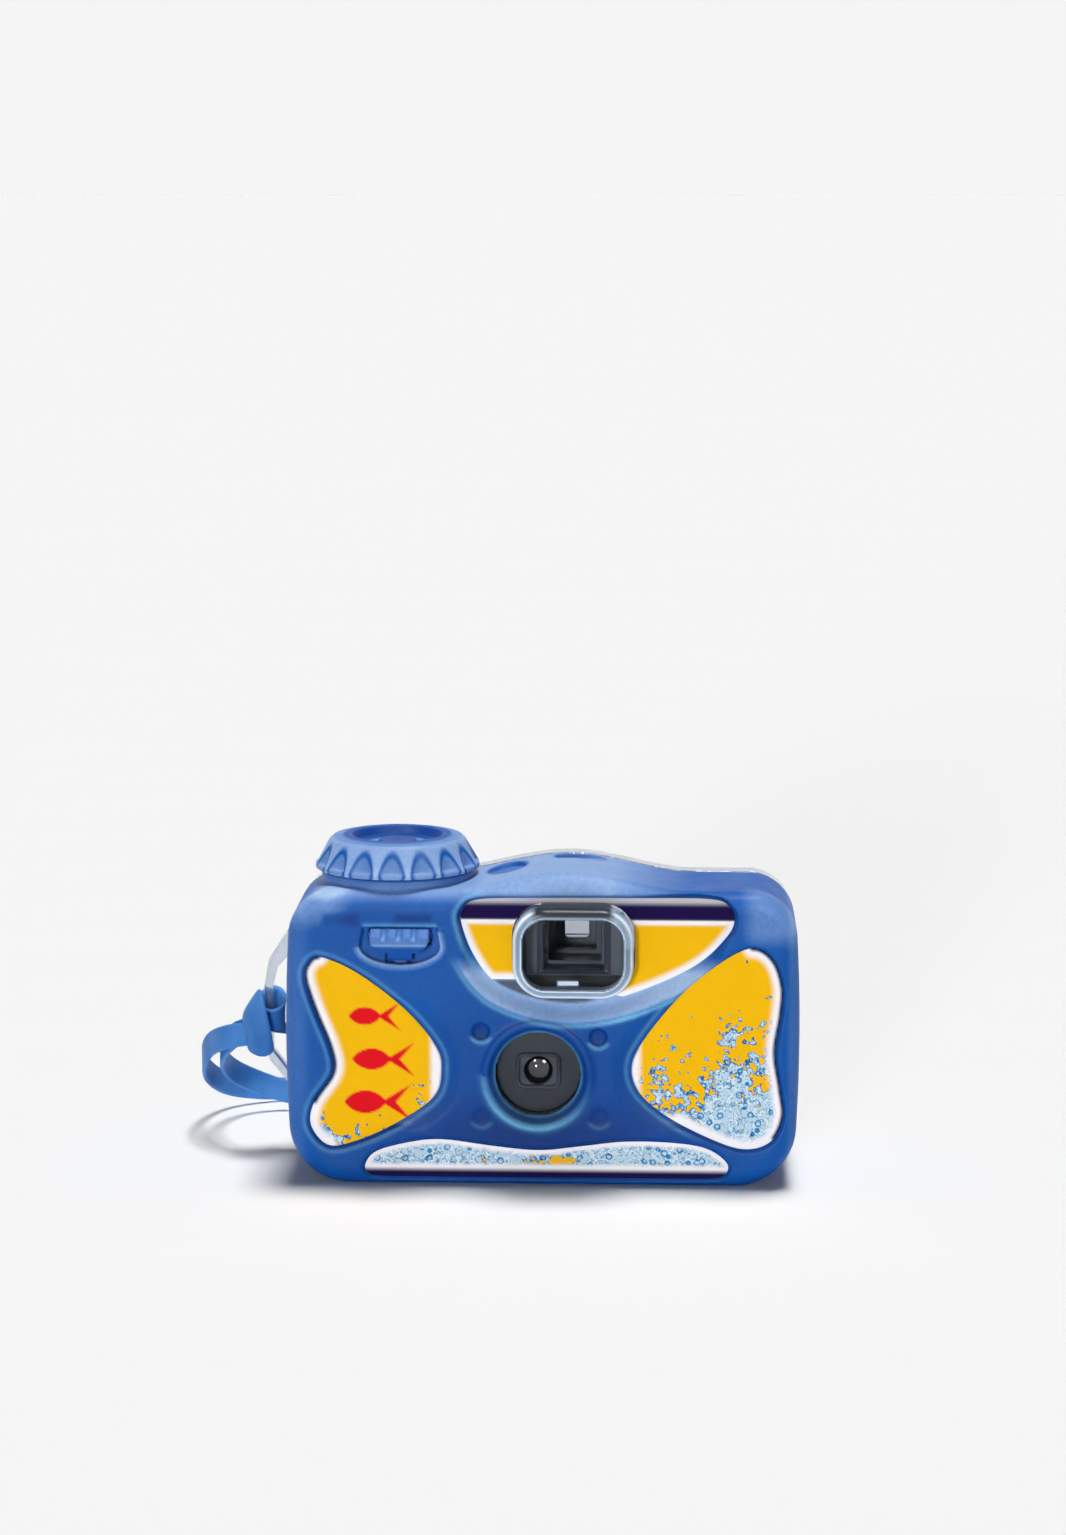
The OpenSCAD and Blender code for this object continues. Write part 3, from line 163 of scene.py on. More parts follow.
def solid(field, lo, hi, step):
    """Mesh round the space where field(x, y, z) is negative, with its points drawn onto the surface."""
    lo = np.array(lo, float) - MARGIN * step
    n = np.ceil((np.array(hi, float) + MARGIN * step - lo) / step).astype(int) + 1
    axes = [lo[i] + step * np.arange(n[i]) for i in range(3)]
    values = field(axes[0][:, None, None], axes[1][None, :, None], axes[2][None, None, :])
    verts, quads = surface_nets(np.broadcast_to(values, tuple(n)), lo, step)
    for _ in range(SETTLE_ROUNDS):
        x, y, z = verts.T
        here = field(x, y, z)
        ahead = (field(x + PROBE, y, z), field(x, y + PROBE, z), field(x, y, z + PROBE))
        slope = np.stack([value - here for value in ahead], 1) / PROBE
        move = -(here / np.maximum((slope * slope).sum(1), LEAST_SLOPE))[:, None] * slope
        far = np.linalg.norm(move, axis=1)
        move *= np.minimum(1.0, LONGEST_MOVE * step / np.maximum(far, 1e-9))[:, None]
        verts = verts + SETTLE_SHARE * move
    return verts, quads


def carve(node_name, field, lo, hi, step, look, slot, paint=None, body="housing", smooth=True):
    """Piece made from a distance field, with the tones that paint gives its points."""
    verts, faces = solid(field, lo, hi, step)
    attrs = {key: np.clip(value, 0, 1) for key, value in paint(verts).items()} if paint else None
    return new_piece(node_name + "_skin", verts, faces, look, body, slot, node_name, attrs, smooth)


# Distance fields: a solid is where its field is negative

def union(*fields):
    return reduce(np.minimum, fields)


def common(*fields):
    return reduce(np.maximum, fields)


def soft_union(a, b, r):
    """Union with a fillet of about r."""
    k = np.clip(0.5 + 0.5 * (b - a) / r, 0, 1)
    return b + (a - b) * k - r * k * (1 - k)


def soft_cut(a, tool, r):
    """What a tool leaves of a solid, with its edges rounded by about r."""
    return -soft_union(-a, tool, r)


def corner(a, b):
    """Distance from a round-edged crossing of two fields."""
    return np.hypot(np.maximum(a, 0), np.maximum(b, 0)) + np.minimum(np.maximum(a, b), 0)


def round_box(x, y, z, lo, hi, r):
    centre = (np.array(lo) + np.array(hi)) / 2
    half = (np.array(hi) - np.array(lo)) / 2 - r
    qx, qy, qz = (abs(v - c) - h for v, c, h in zip((x, y, z), centre, half))
    out = np.sqrt(np.maximum(qx, 0) ** 2 + np.maximum(qy, 0) ** 2 + np.maximum(qz, 0) ** 2)
    return out + np.minimum(common(qx, qy, qz), 0) - r


def round_rect(x, z, cx, cz, w, h, r):
    return corner(abs(x - cx) - w / 2 + r, abs(z - cz) - h / 2 + r) - r


def oblong(x, z, cx, cz, half_w, half_h):
    return common(abs(x - cx) - half_w, abs(z - cz) - half_h)


def tube(radius, along, r, lo, hi, edge=0.0):
    """Cylinder from the distance to its axis and the place along it, with an edge radius."""
    return corner(radius - r + edge, abs(along - (lo + hi) / 2) - (hi - lo) / 2 + edge) - edge


def rod(radius, along, r, start, end):
    """Plain cylinder from the distance to its axis and the place along it."""
    return common(radius - r, start - along, along - end)


def box(x, y, z, lo, hi):
    return common(*(side for v, a, b in zip((x, y, z), lo, hi) for side in (a - v, v - b)))


def rounded_slab(outline, y, y_front, r):
    """Body of a given outline behind a front face, with its front edge rounded."""
    return corner(outline + r, y_front + r - y) - r


def segments(points, x, z):
    """Squared distance to each straight piece of a line, and the piece's ends."""
    for (ax, az), (bx, bz) in points:
        ex, ez = bx - ax, bz - az
        wx, wz = x - ax, z - az
        t = np.clip((wx * ex + wz * ez) / (ex * ex + ez * ez + 1e-12), 0, 1)
        yield (wx - ex * t) ** 2 + (wz - ez * t) ** 2, (ax, az), (bx, bz)


def outline_dist(outline, x, z):
    """Signed distance to a closed outline, negative inside."""
    x, z = np.broadcast_arrays(x, z)
    best = np.full(x.shape, np.inf)
    within = np.zeros(x.shape, bool)
    for square, (ax, az), (bx, bz) in segments(zip(outline, np.roll(outline, -1, axis=0)), x, z):
        best = np.minimum(best, square)
        if bz != az:
            within ^= ((az > z) != (bz > z)) & (x - ax < (bx - ax) * (z - az) / (bz - az))
    return np.where(within, -1, 1) * np.sqrt(best)


def line_dist(line, x, z):
    """Distance to an open line."""
    return np.sqrt(reduce(np.minimum, (square for square, _, _ in segments(zip(line[:-1], line[1:]), x, z))))


# Soft masks from 0 to 1, for paint and slopes

def ease(t):
    t = np.clip(t, 0, 1)
    return t * t * (3 - 2 * t)


def rise(value, start, length):
    """0 up to start, 1 from start + length on."""
    return ease((value - start) / length)


def fall(value, end, length):
    """1 down to end - length, 0 from end on."""
    return ease((end - value) / length)


def bell(distance, width):
    return np.exp(-(distance / width) ** 2)


def inside(distance, soft=0.25):
    """1 where a distance is negative, with a soft edge."""
    return 1 - rise(distance, -soft, 2 * soft)


# Curves

LOOP_STEPS = 6


def spline(a, b, c, d, t):
    """Point between b and c of a curve that passes through all four."""
    return (2 * b + (c - a) * t + (2 * a - 5 * b + 4 * c - d) * t ** 2 + (3 * b - a - 3 * c + d) * t ** 3) / 2


def smooth_loop(points):
    """Closed curve through the points, with LOOP_STEPS steps between two of them."""
    p = np.array(points, float)
    a, c, d = np.roll(p, 1, 0), np.roll(p, -1, 0), np.roll(p, -2, 0)
    return np.stack([spline(a, p, c, d, k / LOOP_STEPS) for k in range(LOOP_STEPS)], 1).reshape(-1, 2)


def smooth_line(points, n):
    """Open curve through the points, with n steps between two of them."""
    p = np.array(points, float)
    pad = np.concatenate([p[:1], p, p[-1:]])
    curve = [spline(*pad[i:i + 4], k / n) for i in range(len(p) - 1) for k in range(n)]
    return np.array(curve + [p[-1]])


def unit(vectors):
    return vectors / np.linalg.norm(vectors, axis=1)[:, None]


def arc(cx, cz, r, start, end, n):
    a = np.radians(np.linspace(start, end, n + 1))
    return np.stack([cx + r * np.cos(a), cz + r * np.sin(a)], 1)


# Node helpers

# Places of the colour sockets on Blender's mix node
MIX_FACTOR, MIX_A, MIX_B, MIX_RESULT = 0, 6, 7, 2


def srgb(r, g, b):
    """Colour from the eight-bit values of a picture."""
    linear = [v / 255 / 12.92 if v <= 10 else ((v / 255 + 0.055) / 1.055) ** 2.4 for v in (r, g, b)]
    return (*linear, 1.0)


def grey(v):
    return (v, v, v, 1)


def feed(tree, value, socket):
    """Link another node's output to a socket, or set the socket's constant value."""
    if isinstance(value, bpy.types.NodeSocket):
        tree.links.new(value, socket)
    else:
        socket.default_value = value


def node(tree, kind, **inputs):
    made = tree.nodes.new(kind)
    for key, value in inputs.items():
        feed(tree, value, made.inputs[key])
    return made


def coords(tree):
    return tree.nodes.new("ShaderNodeTexCoord").outputs["Object"]


def noise(tree, scale, detail=3.0, rough=0.5):
    made = node(tree, "ShaderNodeTexNoise", Vector=coords(tree), Scale=scale, Detail=detail, Roughness=rough)
    return made.outputs["Fac"]


def ramp(tree, fac, stops):
    made = tree.nodes.new("ShaderNodeValToRGB")
    elements = made.color_ramp.elements
    while len(elements) < len(stops):
        elements.new(0.5)
    for element, (position, colour) in zip(elements, stops):
        element.position = position
        element.color = colour
    tree.links.new(fac, made.inputs["Fac"])
    return made.outputs["Color"]


def mix(tree, fac, a, b, blend="MIX"):
    made = tree.nodes.new("ShaderNodeMix")
    made.data_type = "RGBA"
    made.blend_type = blend
    for socket, value in ((MIX_FACTOR, fac), (MIX_A, a), (MIX_B, b)):
        feed(tree, value, made.inputs[socket])
    return made.outputs[MIX_RESULT]


def multiply(tree, a, b):
    return mix(tree, 1.0, a, b, "MULTIPLY")


def calculate(tree, operation, a, b, clamp=False):
    made = tree.nodes.new("ShaderNodeMath")
    made.operation = operation
    made.use_clamp = clamp
    feed(tree, a, made.inputs[0])
    feed(tree, b, made.inputs[1])
    return made.outputs[0]


def attribute(tree, name):
    made = tree.nodes.new("ShaderNodeAttribute")
    made.attribute_name = name
    return made.outputs["Fac"]


def uneven(tree, scale, low, high, full=0.7):
    """Roughness that wanders between two values."""
    return ramp(tree, noise(tree, scale, 2.0), [(0.3, grey(low)), (full, grey(high))])


def material(name):
    made = bpy.data.materials.new(name)
    made.use_nodes = True
    return made, made.node_tree, made.node_tree.nodes["Principled BSDF"]


def dress(tree, bsdf, **values):
    """Set or link the shader's sockets, whose names have _ for a space here."""
    for key, value in values.items():
        feed(tree, value, bsdf.inputs[key.replace("_", " ")])


GRAIN_DEPTH = 0.0002


def bump(tree, bsdf, height, strength):
    made = node(tree, "ShaderNodeBump", Height=height, Strength=strength, Distance=GRAIN_DEPTH)
    dress(tree, bsdf, Normal=made.outputs["Normal"])


# Materials

def blue_plastic(name, grain):
    """Translucent blue: tone runs from deep blue to milky and also carries painted light and shade; the
    painted highlight adds pale light along its edges.
    """
    mat, tree, bsdf = material(name)
    tone = ramp(tree, attribute(tree, "tone"), [
        (0.0, srgb(0, 30, 92)), (0.3, srgb(2, 68, 148)), (0.5, srgb(12, 92, 176)), (0.8, srgb(112, 150, 208)),
        (1.0, srgb(176, 202, 236))])
    tone = mix(tree, attribute(tree, "dark"), tone, srgb(66, 68, 74))
    tone = mix(tree, attribute(tree, "glow"), tone, srgb(134, 212, 244))
    cloud = ramp(tree, noise(tree, 55.0, 5.0, 0.6), [(0.3, (0.78, 0.84, 0.90, 1)), (0.72, grey(1))])
    speck = ramp(tree, noise(tree, grain, 1.0), [(0.35, (0.88, 0.90, 0.94, 1)), (0.65, grey(1))])
    dress(tree, bsdf, Base_Color=multiply(tree, multiply(tree, tone, cloud), speck),
          Roughness=uneven(tree, 160.0, 0.40, 0.50), Specular_IOR_Level=0.12)
    bump(tree, bsdf, noise(tree, grain, 2.0), 0.06)
    return mat


def clear_plastic(name, colour, rough, milky_and_lit):
    """Thick clear moulding: the fourth argument is the share of light that it scatters."""
    mat, tree, bsdf = material(name)
    dress(tree, bsdf, Base_Color=colour, IOR=1.45, Transmission_Weight=1.0 - milky_and_lit,
          Roughness=uneven(tree, 80.0, rough, 2 * rough, 0.8))
    return mat


def pane(name, film_share):
    """Thin clear window: film_share of the light is held back, the painted light adds to it and the painted
    shade darkens it.
    """
    mat, tree, bsdf = material(name)
    haze = attribute(tree, "haze")
    tint = ramp(tree, haze, [
        (0.0, srgb(60, 68, 80)), (0.5, srgb(104, 124, 150)), (0.75, srgb(164, 190, 218)),
        (1.0, srgb(236, 245, 255))])
    dress(tree, bsdf, Base_Color=mix(tree, attribute(tree, "shade"), tint, srgb(16, 26, 40)),
          Alpha=calculate(tree, "ADD", haze, film_share, clamp=True),
          Roughness=ramp(tree, haze, [(0.0, grey(0.05)), (0.6, grey(0.3))]), Specular_IOR_Level=0.2)
    return mat


def plain(name, dark, light, rough, metallic=0.0, scale=120.0, grain=0.1, coat=0.0, gloss=0.5):
    """Moulded or drawn material: two tones of one colour in a fine cloud, with a fine grain."""
    mat, tree, bsdf = material(name)
    dress(tree, bsdf, Base_Color=ramp(tree, noise(tree, scale, 4.0), [(0.3, dark), (0.7, light)]),
          Roughness=uneven(tree, 3 * scale, 0.85 * rough, 1.15 * rough), Metallic=metallic, Coat_Weight=coat,
          Specular_IOR_Level=gloss)
    if grain:
        bump(tree, bsdf, noise(tree, 8 * scale, 2.0), grain)
    return mat


def painted_black(name):
    """Black moulding with the light that its small steps catch."""
    mat, tree, bsdf = material(name)
    dress(tree, bsdf, Base_Color=mix(tree, attribute(tree, "tone"), srgb(26, 32, 40), srgb(92, 100, 112)),
          Roughness=uneven(tree, 300.0, 0.28, 0.36), Specular_IOR_Level=0.2)
    return mat


def drops(tree, scale):
    """White, with the blue outline of a round drop in some of the cells of a random pattern."""
    cells = node(tree, "ShaderNodeTexVoronoi", Vector=coords(tree), Scale=scale)
    outline = ramp(tree, cells.outputs["Distance"], [
        (0.22, srgb(236, 246, 255)), (0.30, srgb(0, 138, 198)), (0.38, srgb(80, 176, 216)),
        (0.46, grey(1.0))])
    chosen = ramp(tree, cells.outputs["Color"], [(0.52, grey(0.0)), (0.58, grey(1.0))])
    return mix(tree, chosen, grey(1.0), outline)


def printed_film(name, base):
    """Printed label: a plain field with a splash of water, a red motif, soft white borders and dark ink."""
    mat, tree, bsdf = material(name)
    broken = calculate(tree, "ADD", noise(tree, 220.0, 3.0, 0.55), noise(tree, 620.0, 2.0, 0.5))
    broken = calculate(tree, "MULTIPLY", calculate(tree, "SUBTRACT", broken, 1.0), 1.5)
    level = calculate(tree, "ADD", attribute(tree, "water"), broken)
    cover = ramp(tree, level, [(0.50, grey(0.0)), (0.506, grey(1.0))])
    edge = ramp(tree, level, [(0.50, srgb(0, 122, 194)), (0.56, srgb(50, 164, 216)), (0.64, grey(1.0))])
    foam = ramp(tree, noise(tree, 400.0, 3.0, 0.6), [
        (0.41, srgb(186, 214, 229)), (0.435, srgb(10, 122, 190)), (0.46, srgb(182, 212, 229)),
        (0.53, srgb(232, 241, 246)), (0.56, srgb(52, 152, 204)), (0.585, srgb(200, 224, 237)),
        (0.72, srgb(172, 204, 225))])
    colour = mix(tree, cover, base, multiply(tree, multiply(tree, foam, edge), drops(tree, 480.0)))
    inks = {"red": srgb(228, 8, 28), "white": srgb(252, 250, 254), "ink": srgb(20, 0, 66)}
    for ink, ink_colour in inks.items():
        colour = mix(tree, attribute(tree, ink), colour, ink_colour)
    dress(tree, bsdf, Base_Color=colour, Roughness=uneven(tree, 300.0, 0.34, 0.42), Specular_IOR_Level=0.05)
    return mat


blue = blue_plastic("blue_plastic", 900.0)
knob_blue = blue_plastic("knob_plastic", 1400.0)
clear = clear_plastic("clear_plastic", srgb(206, 214, 226), 0.03, 0.10)
window = pane("window_plastic", 0.012)
strap_rubber = plain("strap_rubber", srgb(40, 102, 178), srgb(74, 138, 208), 0.5, scale=60.0, gloss=0.2)
hinge_blue = plain("hinge_blue", srgb(8, 70, 150), srgb(16, 84, 170), 0.4)
black = plain("black_plastic", srgb(14, 16, 20), srgb(24, 27, 32), 0.4, grain=0.0, gloss=0.25)
lens_black = painted_black("lens_black")
tunnel_grey = plain("tunnel_grey", srgb(58, 66, 80), srgb(72, 80, 94), 0.35, grain=0.0, gloss=0.4)
lens_glass = plain("lens_glass", srgb(6, 7, 9), srgb(9, 10, 12), 0.05, grain=0.0, coat=1.0)
white = plain("white_plastic", srgb(205, 205, 200), srgb(228, 228, 224), 0.45)
steel = plain("steel", srgb(165, 165, 170), srgb(200, 200, 204), 0.3, metallic=1.0)
rubber = plain("seal_rubber", srgb(20, 20, 20), srgb(38, 38, 38), 0.7)
film = plain("film", srgb(52, 36, 30), srgb(80, 56, 46), 0.25, coat=0.4)
tin = plain("cartridge_tin", srgb(200, 150, 30), srgb(232, 182, 48), 0.3, coat=0.5)
yellow_print = printed_film("yellow_print", srgb(248, 189, 0))
pale_print = printed_film("pale_print", srgb(240, 186, 40))
back_yellow = plain("back_label", srgb(240, 184, 14), srgb(250, 196, 30), 0.4)


# Wrist strap, along the route of the solid

ROUTE = [
    (-74, 10.5, 30), (-80, 13, 28.5), (-85, 20, 25), (-88, 29, 19.5), (-88.5, 40, 13), (-85, 51, 7),
    (-77, 58, 4), (-66, 61.5, 3.2), (-54, 63, 3.2), (-40, 63, 3.2), (-26, 62.5, 3.2), (-12, 62, 3.2),
    (0, 60.5, 3.2), (9, 55, 3.2), (12, 47, 3.2), (8, 39, 3.2), (-2, 34.5, 3.2), (-16, 35, 3.2),
    (-30, 39, 3.2), (-44, 44, 3.2), (-57, 49, 3.4), (-69, 50.5, 5), (-78, 47, 9), (-82.5, 39, 14),
    (-83.5, 30, 19.5), (-81.5, 22, 24.5), (-78, 16.5, 28.5), (-74, 14, 30.5),
]
ROUTE_STEPS, EDGE_STEPS = 8, 5
BAND_W, BAND_T, END_W = 6.0, 1.2, 3.0


def band_section(width, thick):
    """Flat band with rounded edges: pairs of height and thickness."""
    r = thick / 2
    section = []
    for side, middle in ((1, 0), (-1, 180)):
        for i in range(EDGE_STEPS + 1):
            a = math.radians(middle - 90 + 180 * i / EDGE_STEPS)
            section.append((side * (width / 2 - r) + r * math.cos(a), r * math.sin(a)))
    return section


def strip(first, second):
    """Quads between two rows of point numbers."""
    return list(zip(first[:-1], first[1:], second[1:], second[:-1]))


def closed_rows(at):
    """Rows of point numbers that come back to their first point."""
    return np.concatenate([at, at[..., :1]], -1)


def sweep_band(line, section):
    """Closed band along a line, with its width upright."""
    ahead = unit(np.gradient(line, axis=0))
    upright = np.array([0.0, 0.0, 1.0])
    up = unit(upright - (upright * ahead).sum(1)[:, None] * ahead)
    flat = np.cross(ahead, up)
    verts = [line[i] + h * up[i] + w * flat[i] for i in range(len(line)) for h, w in section]
    at = np.arange(len(verts)).reshape(len(line), len(section))
    rows = closed_rows(at)
    faces = []
    for near, far in zip(rows[:-1], rows[1:]):
        faces += strip(near, far)
    return verts, faces + [tuple(at[0][::-1]), tuple(at[-1])]


strap_line = smooth_line(ROUTE, ROUTE_STEPS)
strap = new_piece("wrist_strap_band", *sweep_band(strap_line, band_section(BAND_W, BAND_T)), strap_rubber,
                  "housing", "strap_rubber", "wrist_strap")


# Knot: a flared turn round the loop's bar, with its mouth tipped forward, and the flap that folds over it

TURN_X, TURN_WALL, TURN_TIP, TURN_DEEP, TURN_N = -68.5, 0.9, 0.65, 1.1, 32
# Height and radius of the turn's rings
TURN = [(30.8, 3.2), (33.0, 3.2), (35.2, 3.2), (37.0, 3.3), (38.2, 3.5), (38.8, 3.7)]
# Rows of the flap from its top to its foot, each from the outer edge round to the front
FLAP = np.array([
    [(-71.4, 10.5, 41.4), (-71.3, 8.8, 41.9), (-71.0, 7.6, 42.1), (-70.6, 7.0, 41.9)],
    [(-73.8, 11.4, 38.0), (-73.2, 8.6, 38.6), (-71.8, 6.9, 39.1), (-69.9, 6.3, 39.2)],
    [(-76.2, 12.2, 34.6), (-75.0, 8.2, 35.2), (-72.2, 6.2, 35.8), (-69.0, 5.7, 36.2)],
    [(-75.8, 12.4, 32.2), (-74.6, 8.0, 31.9), (-71.6, 5.9, 31.6), (-68.0, 5.5, 31.4)],
    [(-75.1, 12.4, 28.4), (-74.0, 8.1, 28.2), (-71.0, 6.1, 27.8), (-67.5, 5.8, 28.2)],
    [(-74.6, 12.4, 25.4), (-73.6, 8.5, 25.2), (-70.0, 6.8, 24.3), (-67.3, 6.6, 26.4)],
], float)
FLAP_HALF = 0.55
# End of the strap behind the knot
END = np.array([(-69.5, 15.8, 30.6), (-67.4, 16.2, 30.3), (-65.2, 16.5, 30.0), (-63.2, 16.7, 29.6)])


def thick_sheet(front, back, ring):
    """Closed mesh between two grids of points, whose rows form rings or end at open sides."""
    at = np.arange(2 * front.shape[0] * front.shape[1]).reshape(2, *front.shape[:2])
    near, far = closed_rows(at) if ring else at
    faces = strip(far[0], near[0]) + strip(near[-1], far[-1])
    for i in range(len(near) - 1):
        faces += strip(near[i], near[i + 1]) + strip(far[i + 1], far[i])
    if not ring:
        faces += strip(far[:, -1], near[:, -1]) + strip(near[:, 0], far[:, 0])
    return np.concatenate([front, back]).reshape(-1, 3), faces


def knot_turn():
    z, r = np.array(TURN).T[:, :, None]
    a = 2 * np.pi * np.arange(TURN_N) / TURN_N
    tip = TURN_TIP * (z - z[0]) / (z[-1] - z[0])

    def wall(inset):
        x, y = (r - inset) * np.cos(a), (r - inset) * TURN_DEEP * np.sin(a)
        return np.stack([TURN_X + x, LOOP_Y + y, z + tip * y], 2)

    return thick_sheet(wall(0.0), wall(TURN_WALL), ring=True)


def knot_flap():
    normal = np.cross(np.gradient(FLAP, axis=0), np.gradient(FLAP, axis=1))
    normal *= FLAP_HALF / np.linalg.norm(normal, axis=2)[:, :, None]
    return thick_sheet(FLAP - normal, FLAP + normal, ring=False)


def join(*parts):
    verts, faces = [], []
    for more_verts, more_faces in parts:
        faces += [tuple(i + len(verts) for i in face) for face in more_faces]
        verts += list(more_verts)
    return verts, faces


knot_mesh = join(knot_turn(), knot_flap(), sweep_band(END, band_section(END_W, BAND_T)))
knot = new_piece("strap_knot_band", *knot_mesh, strap_rubber, "housing", "strap_rubber", "strap_knot")
rounding = knot.modifiers.new("smooth", "SUBSURF")
rounding.levels = 2
rounding.render_levels = 2


# Outline of the housing and of the windows in its front

def hump(x):
    """Height of the swell in the top."""
    t = np.clip(abs(x - HUMP_X) / HUMP_HALF, 0, 1)
    return HUMP_RISE * (1 + np.cos(np.pi * t)) / 2


TOP_POINTS, SIDE_POINTS, LOW_STEPS, HIGH_STEPS, BOWL_POINTS = 41, 10, 24, 20, 33


def housing_outline():
    w = BODY_W / 2
    top_x = np.linspace(w - HIGH_R, -w + HIGH_R, TOP_POINTS)[1:-1]
    side_z = np.linspace(LOW_R, BODY_H - HIGH_R, SIDE_POINTS)[1:-1]
    side_x = np.full(len(side_z), w)
    p = np.concatenate([
        arc(-w + LOW_R, LOW_R, LOW_R, 180, 270, LOW_STEPS),
        arc(w - LOW_R, LOW_R, LOW_R, 270, 360, LOW_STEPS),
        np.stack([side_x, side_z], 1),
        arc(w - HIGH_R, BODY_H - HIGH_R, HIGH_R, 0, 90, HIGH_STEPS),
        np.stack([top_x, BODY_H + hump(top_x)], 1),
        arc(-w + HIGH_R, BODY_H - HIGH_R, HIGH_R, 90, 180, HIGH_STEPS),
        np.stack([-side_x, side_z[::-1]], 1),
    ])
    p[:, 0] *= 1 - 2 * SIDE_BOW / BODY_W * (2 * p[:, 1] / BODY_H - 1) ** 2
    return p


# Trigger pocket: half widths at its top and middle, drop to the middle, depth of its bowl
POCKET_TOP_HALF, POCKET_HALF, POCKET_DROP, POCKET_BOWL = 8.8, 9.6, 4.6, 4.3


def pocket_outline():
    a = np.radians(np.linspace(180, 360, BOWL_POINTS))
    bowl = np.stack([TRIG_X + POCKET_HALF * np.cos(a), POCKET_TOP - POCKET_DROP + POCKET_BOWL * np.sin(a)], 1)
    top = [(TRIG_X + side * POCKET_TOP_HALF, POCKET_TOP) for side in (1, -1)]
    return np.concatenate([top, bowl])


HOUSING = housing_outline()
TRIGGER_POCKET = pocket_outline()
LEFT = smooth_loop([
    (-53, 56.5), (-44, 52.5), (-33, 44), (-25.5, 35), (-24, 29), (-26, 22), (-36, 15), (-46, 10.6),
    (-52, 10), (-56, 15), (-55, 21), (-50.5, 28), (-51, 34), (-54.5, 43), (-57, 51), (-56.2, 54.8)])
RIGHT = smooth_loop([
    (50.5, 59.5), (55.5, 56.5), (57.8, 50), (57.5, 43), (56.2, 34), (57.5, 25), (58.2, 18), (55.5, 12),
    (50, 9.8), (43, 11.3), (31, 17.2), (23.5, 23.5), (21.5, 30), (24.5, 36.8), (33, 47.5), (43, 56)])
BOTTOM = smooth_loop([
    (-42.8, 5.5), (-40, 8.7), (-32, 11), (-24, 11.8), (-12, 10.3), (-1, 9.3), (9, 10.3), (20, 11.6),
    (32, 11.4), (40, 10), (44.8, 6.5), (44.5, 3.6), (41, 2.4), (28, 2.3), (0, 2.2), (-26, 2.2),
    (-39, 2.3), (-42.2, 3.2)])
TOP = smooth_loop([
    (-19.5, 65), (-19, 68.5), (-15, 70.8), (0, 71.2), (20, 71.3), (40, 71.2), (45, 69.3), (46.2, 66),
    (44.5, 62), (38, 55.5), (28, 50.2), (17, 46.3), (7, 45), (-2, 46.2), (-11, 50), (-16.5, 57)])


# Front shell

# Place of each screw post behind the front, and how clearly it shows
POSTS = [(-14.6, 38.6, 1.0), (13.6, 37.4, 1.0), (-14.4, 17.6, 0.35), (13.9, 17.7, 0.35)]
POST_R, POST_BACK, POST_DENT_R, POST_DENT_SLOPE = 2.2, -15.5, 1.5, 1.0
# Slopes down to the labels: steep at the outer side, soft towards the middle
SIDE_STEEP, SIDE_SOFT, LOW_STEEP, TOP_STEEP, TOP_SOFT = 0.7, 4.6, 0.8, 0.8, 3.6
SOFT_LEFT, SOFT_RIGHT, SOFT_HIGH, SOFT_FADE = -37, 35, 62, 10
BEZEL_LIP, BEZEL_INSET, BEZEL_SLOPE, BEZEL_CLEAR, CONE_DEPTH, CONE_FLOOR = 1.0, 0.2, 1.4, 2.0, 3.0, 2.0


def lens_radius(x, z):
    return np.hypot(x - LENS_X, z - LENS_Z)


def knob_radius(x, y):
    return np.hypot(x - KNOB_X, y)


def sunk(distance, depth, slope):
    return depth * (1 - ease(distance / slope))


def front_depth(x, z):
    """How far the front face lies behind its flat plane."""
    left_slope = SIDE_STEEP + SIDE_SOFT * rise(x, SOFT_LEFT, SOFT_FADE)
    right_slope = SIDE_STEEP + SIDE_SOFT * fall(x, SOFT_RIGHT, SOFT_FADE)
    top_slope = TOP_STEEP + TOP_SOFT * fall(z, SOFT_HIGH, SOFT_FADE)
    depth = reduce(np.maximum, (
        sunk(outline_dist(LEFT, x, z), LABEL_SINK, left_slope),
        sunk(outline_dist(RIGHT, x, z), LABEL_SINK, right_slope),
        sunk(outline_dist(BOTTOM, x, z), LABEL_SINK, LOW_STEEP),
        sunk(outline_dist(TOP, x, z), TOP_SINK, top_slope)))
    rho = lens_radius(x, z)
    lip_r = BEZEL_R - BEZEL_LIP
    ring = -BEZEL_OUT * (1 - rise(rho, BEZEL_R - BEZEL_INSET, BEZEL_SLOPE))
    cone = -BEZEL_OUT + CONE_DEPTH * (lip_r - rho) / (lip_r - LENS_R)
    bezel = np.where(rho < lip_r, np.minimum(cone, CONE_FLOOR), ring)
    depth = depth * rise(rho, BEZEL_R, BEZEL_CLEAR) + bezel
    for px, pz, shown in POSTS:
        depth = depth + shown * (1 - rise(np.hypot(x - px, z - pz), POST_DENT_R, POST_DENT_SLOPE))
    return depth


# Two shallow dips in the top: an oval one and a slot
OVAL_X, OVAL_Y, OVAL_HALF_X, OVAL_HALF_Y, OVAL_SCALE = -9.0, -1.2, 4.7, 6.1, 4.5
OVAL_FILLET, SLOT_FILLET = 0.5, 0.4
SLOT_X, SLOT_Y, SLOT_W, SLOT_D, SLOT_R, DIP_DEPTH = HUMP_X + 2.5, 4.0, 12.0, 5.0, 2.0, 1.0


def deck_dips(x, y):
    """Distances to the two dips."""
    oval = OVAL_SCALE * (np.hypot((x - OVAL_X) / OVAL_HALF_X, (y - OVAL_Y) / OVAL_HALF_Y) - 1)
    return oval, round_rect(x, y, SLOT_X, SLOT_Y, SLOT_W, SLOT_D, SLOT_R)


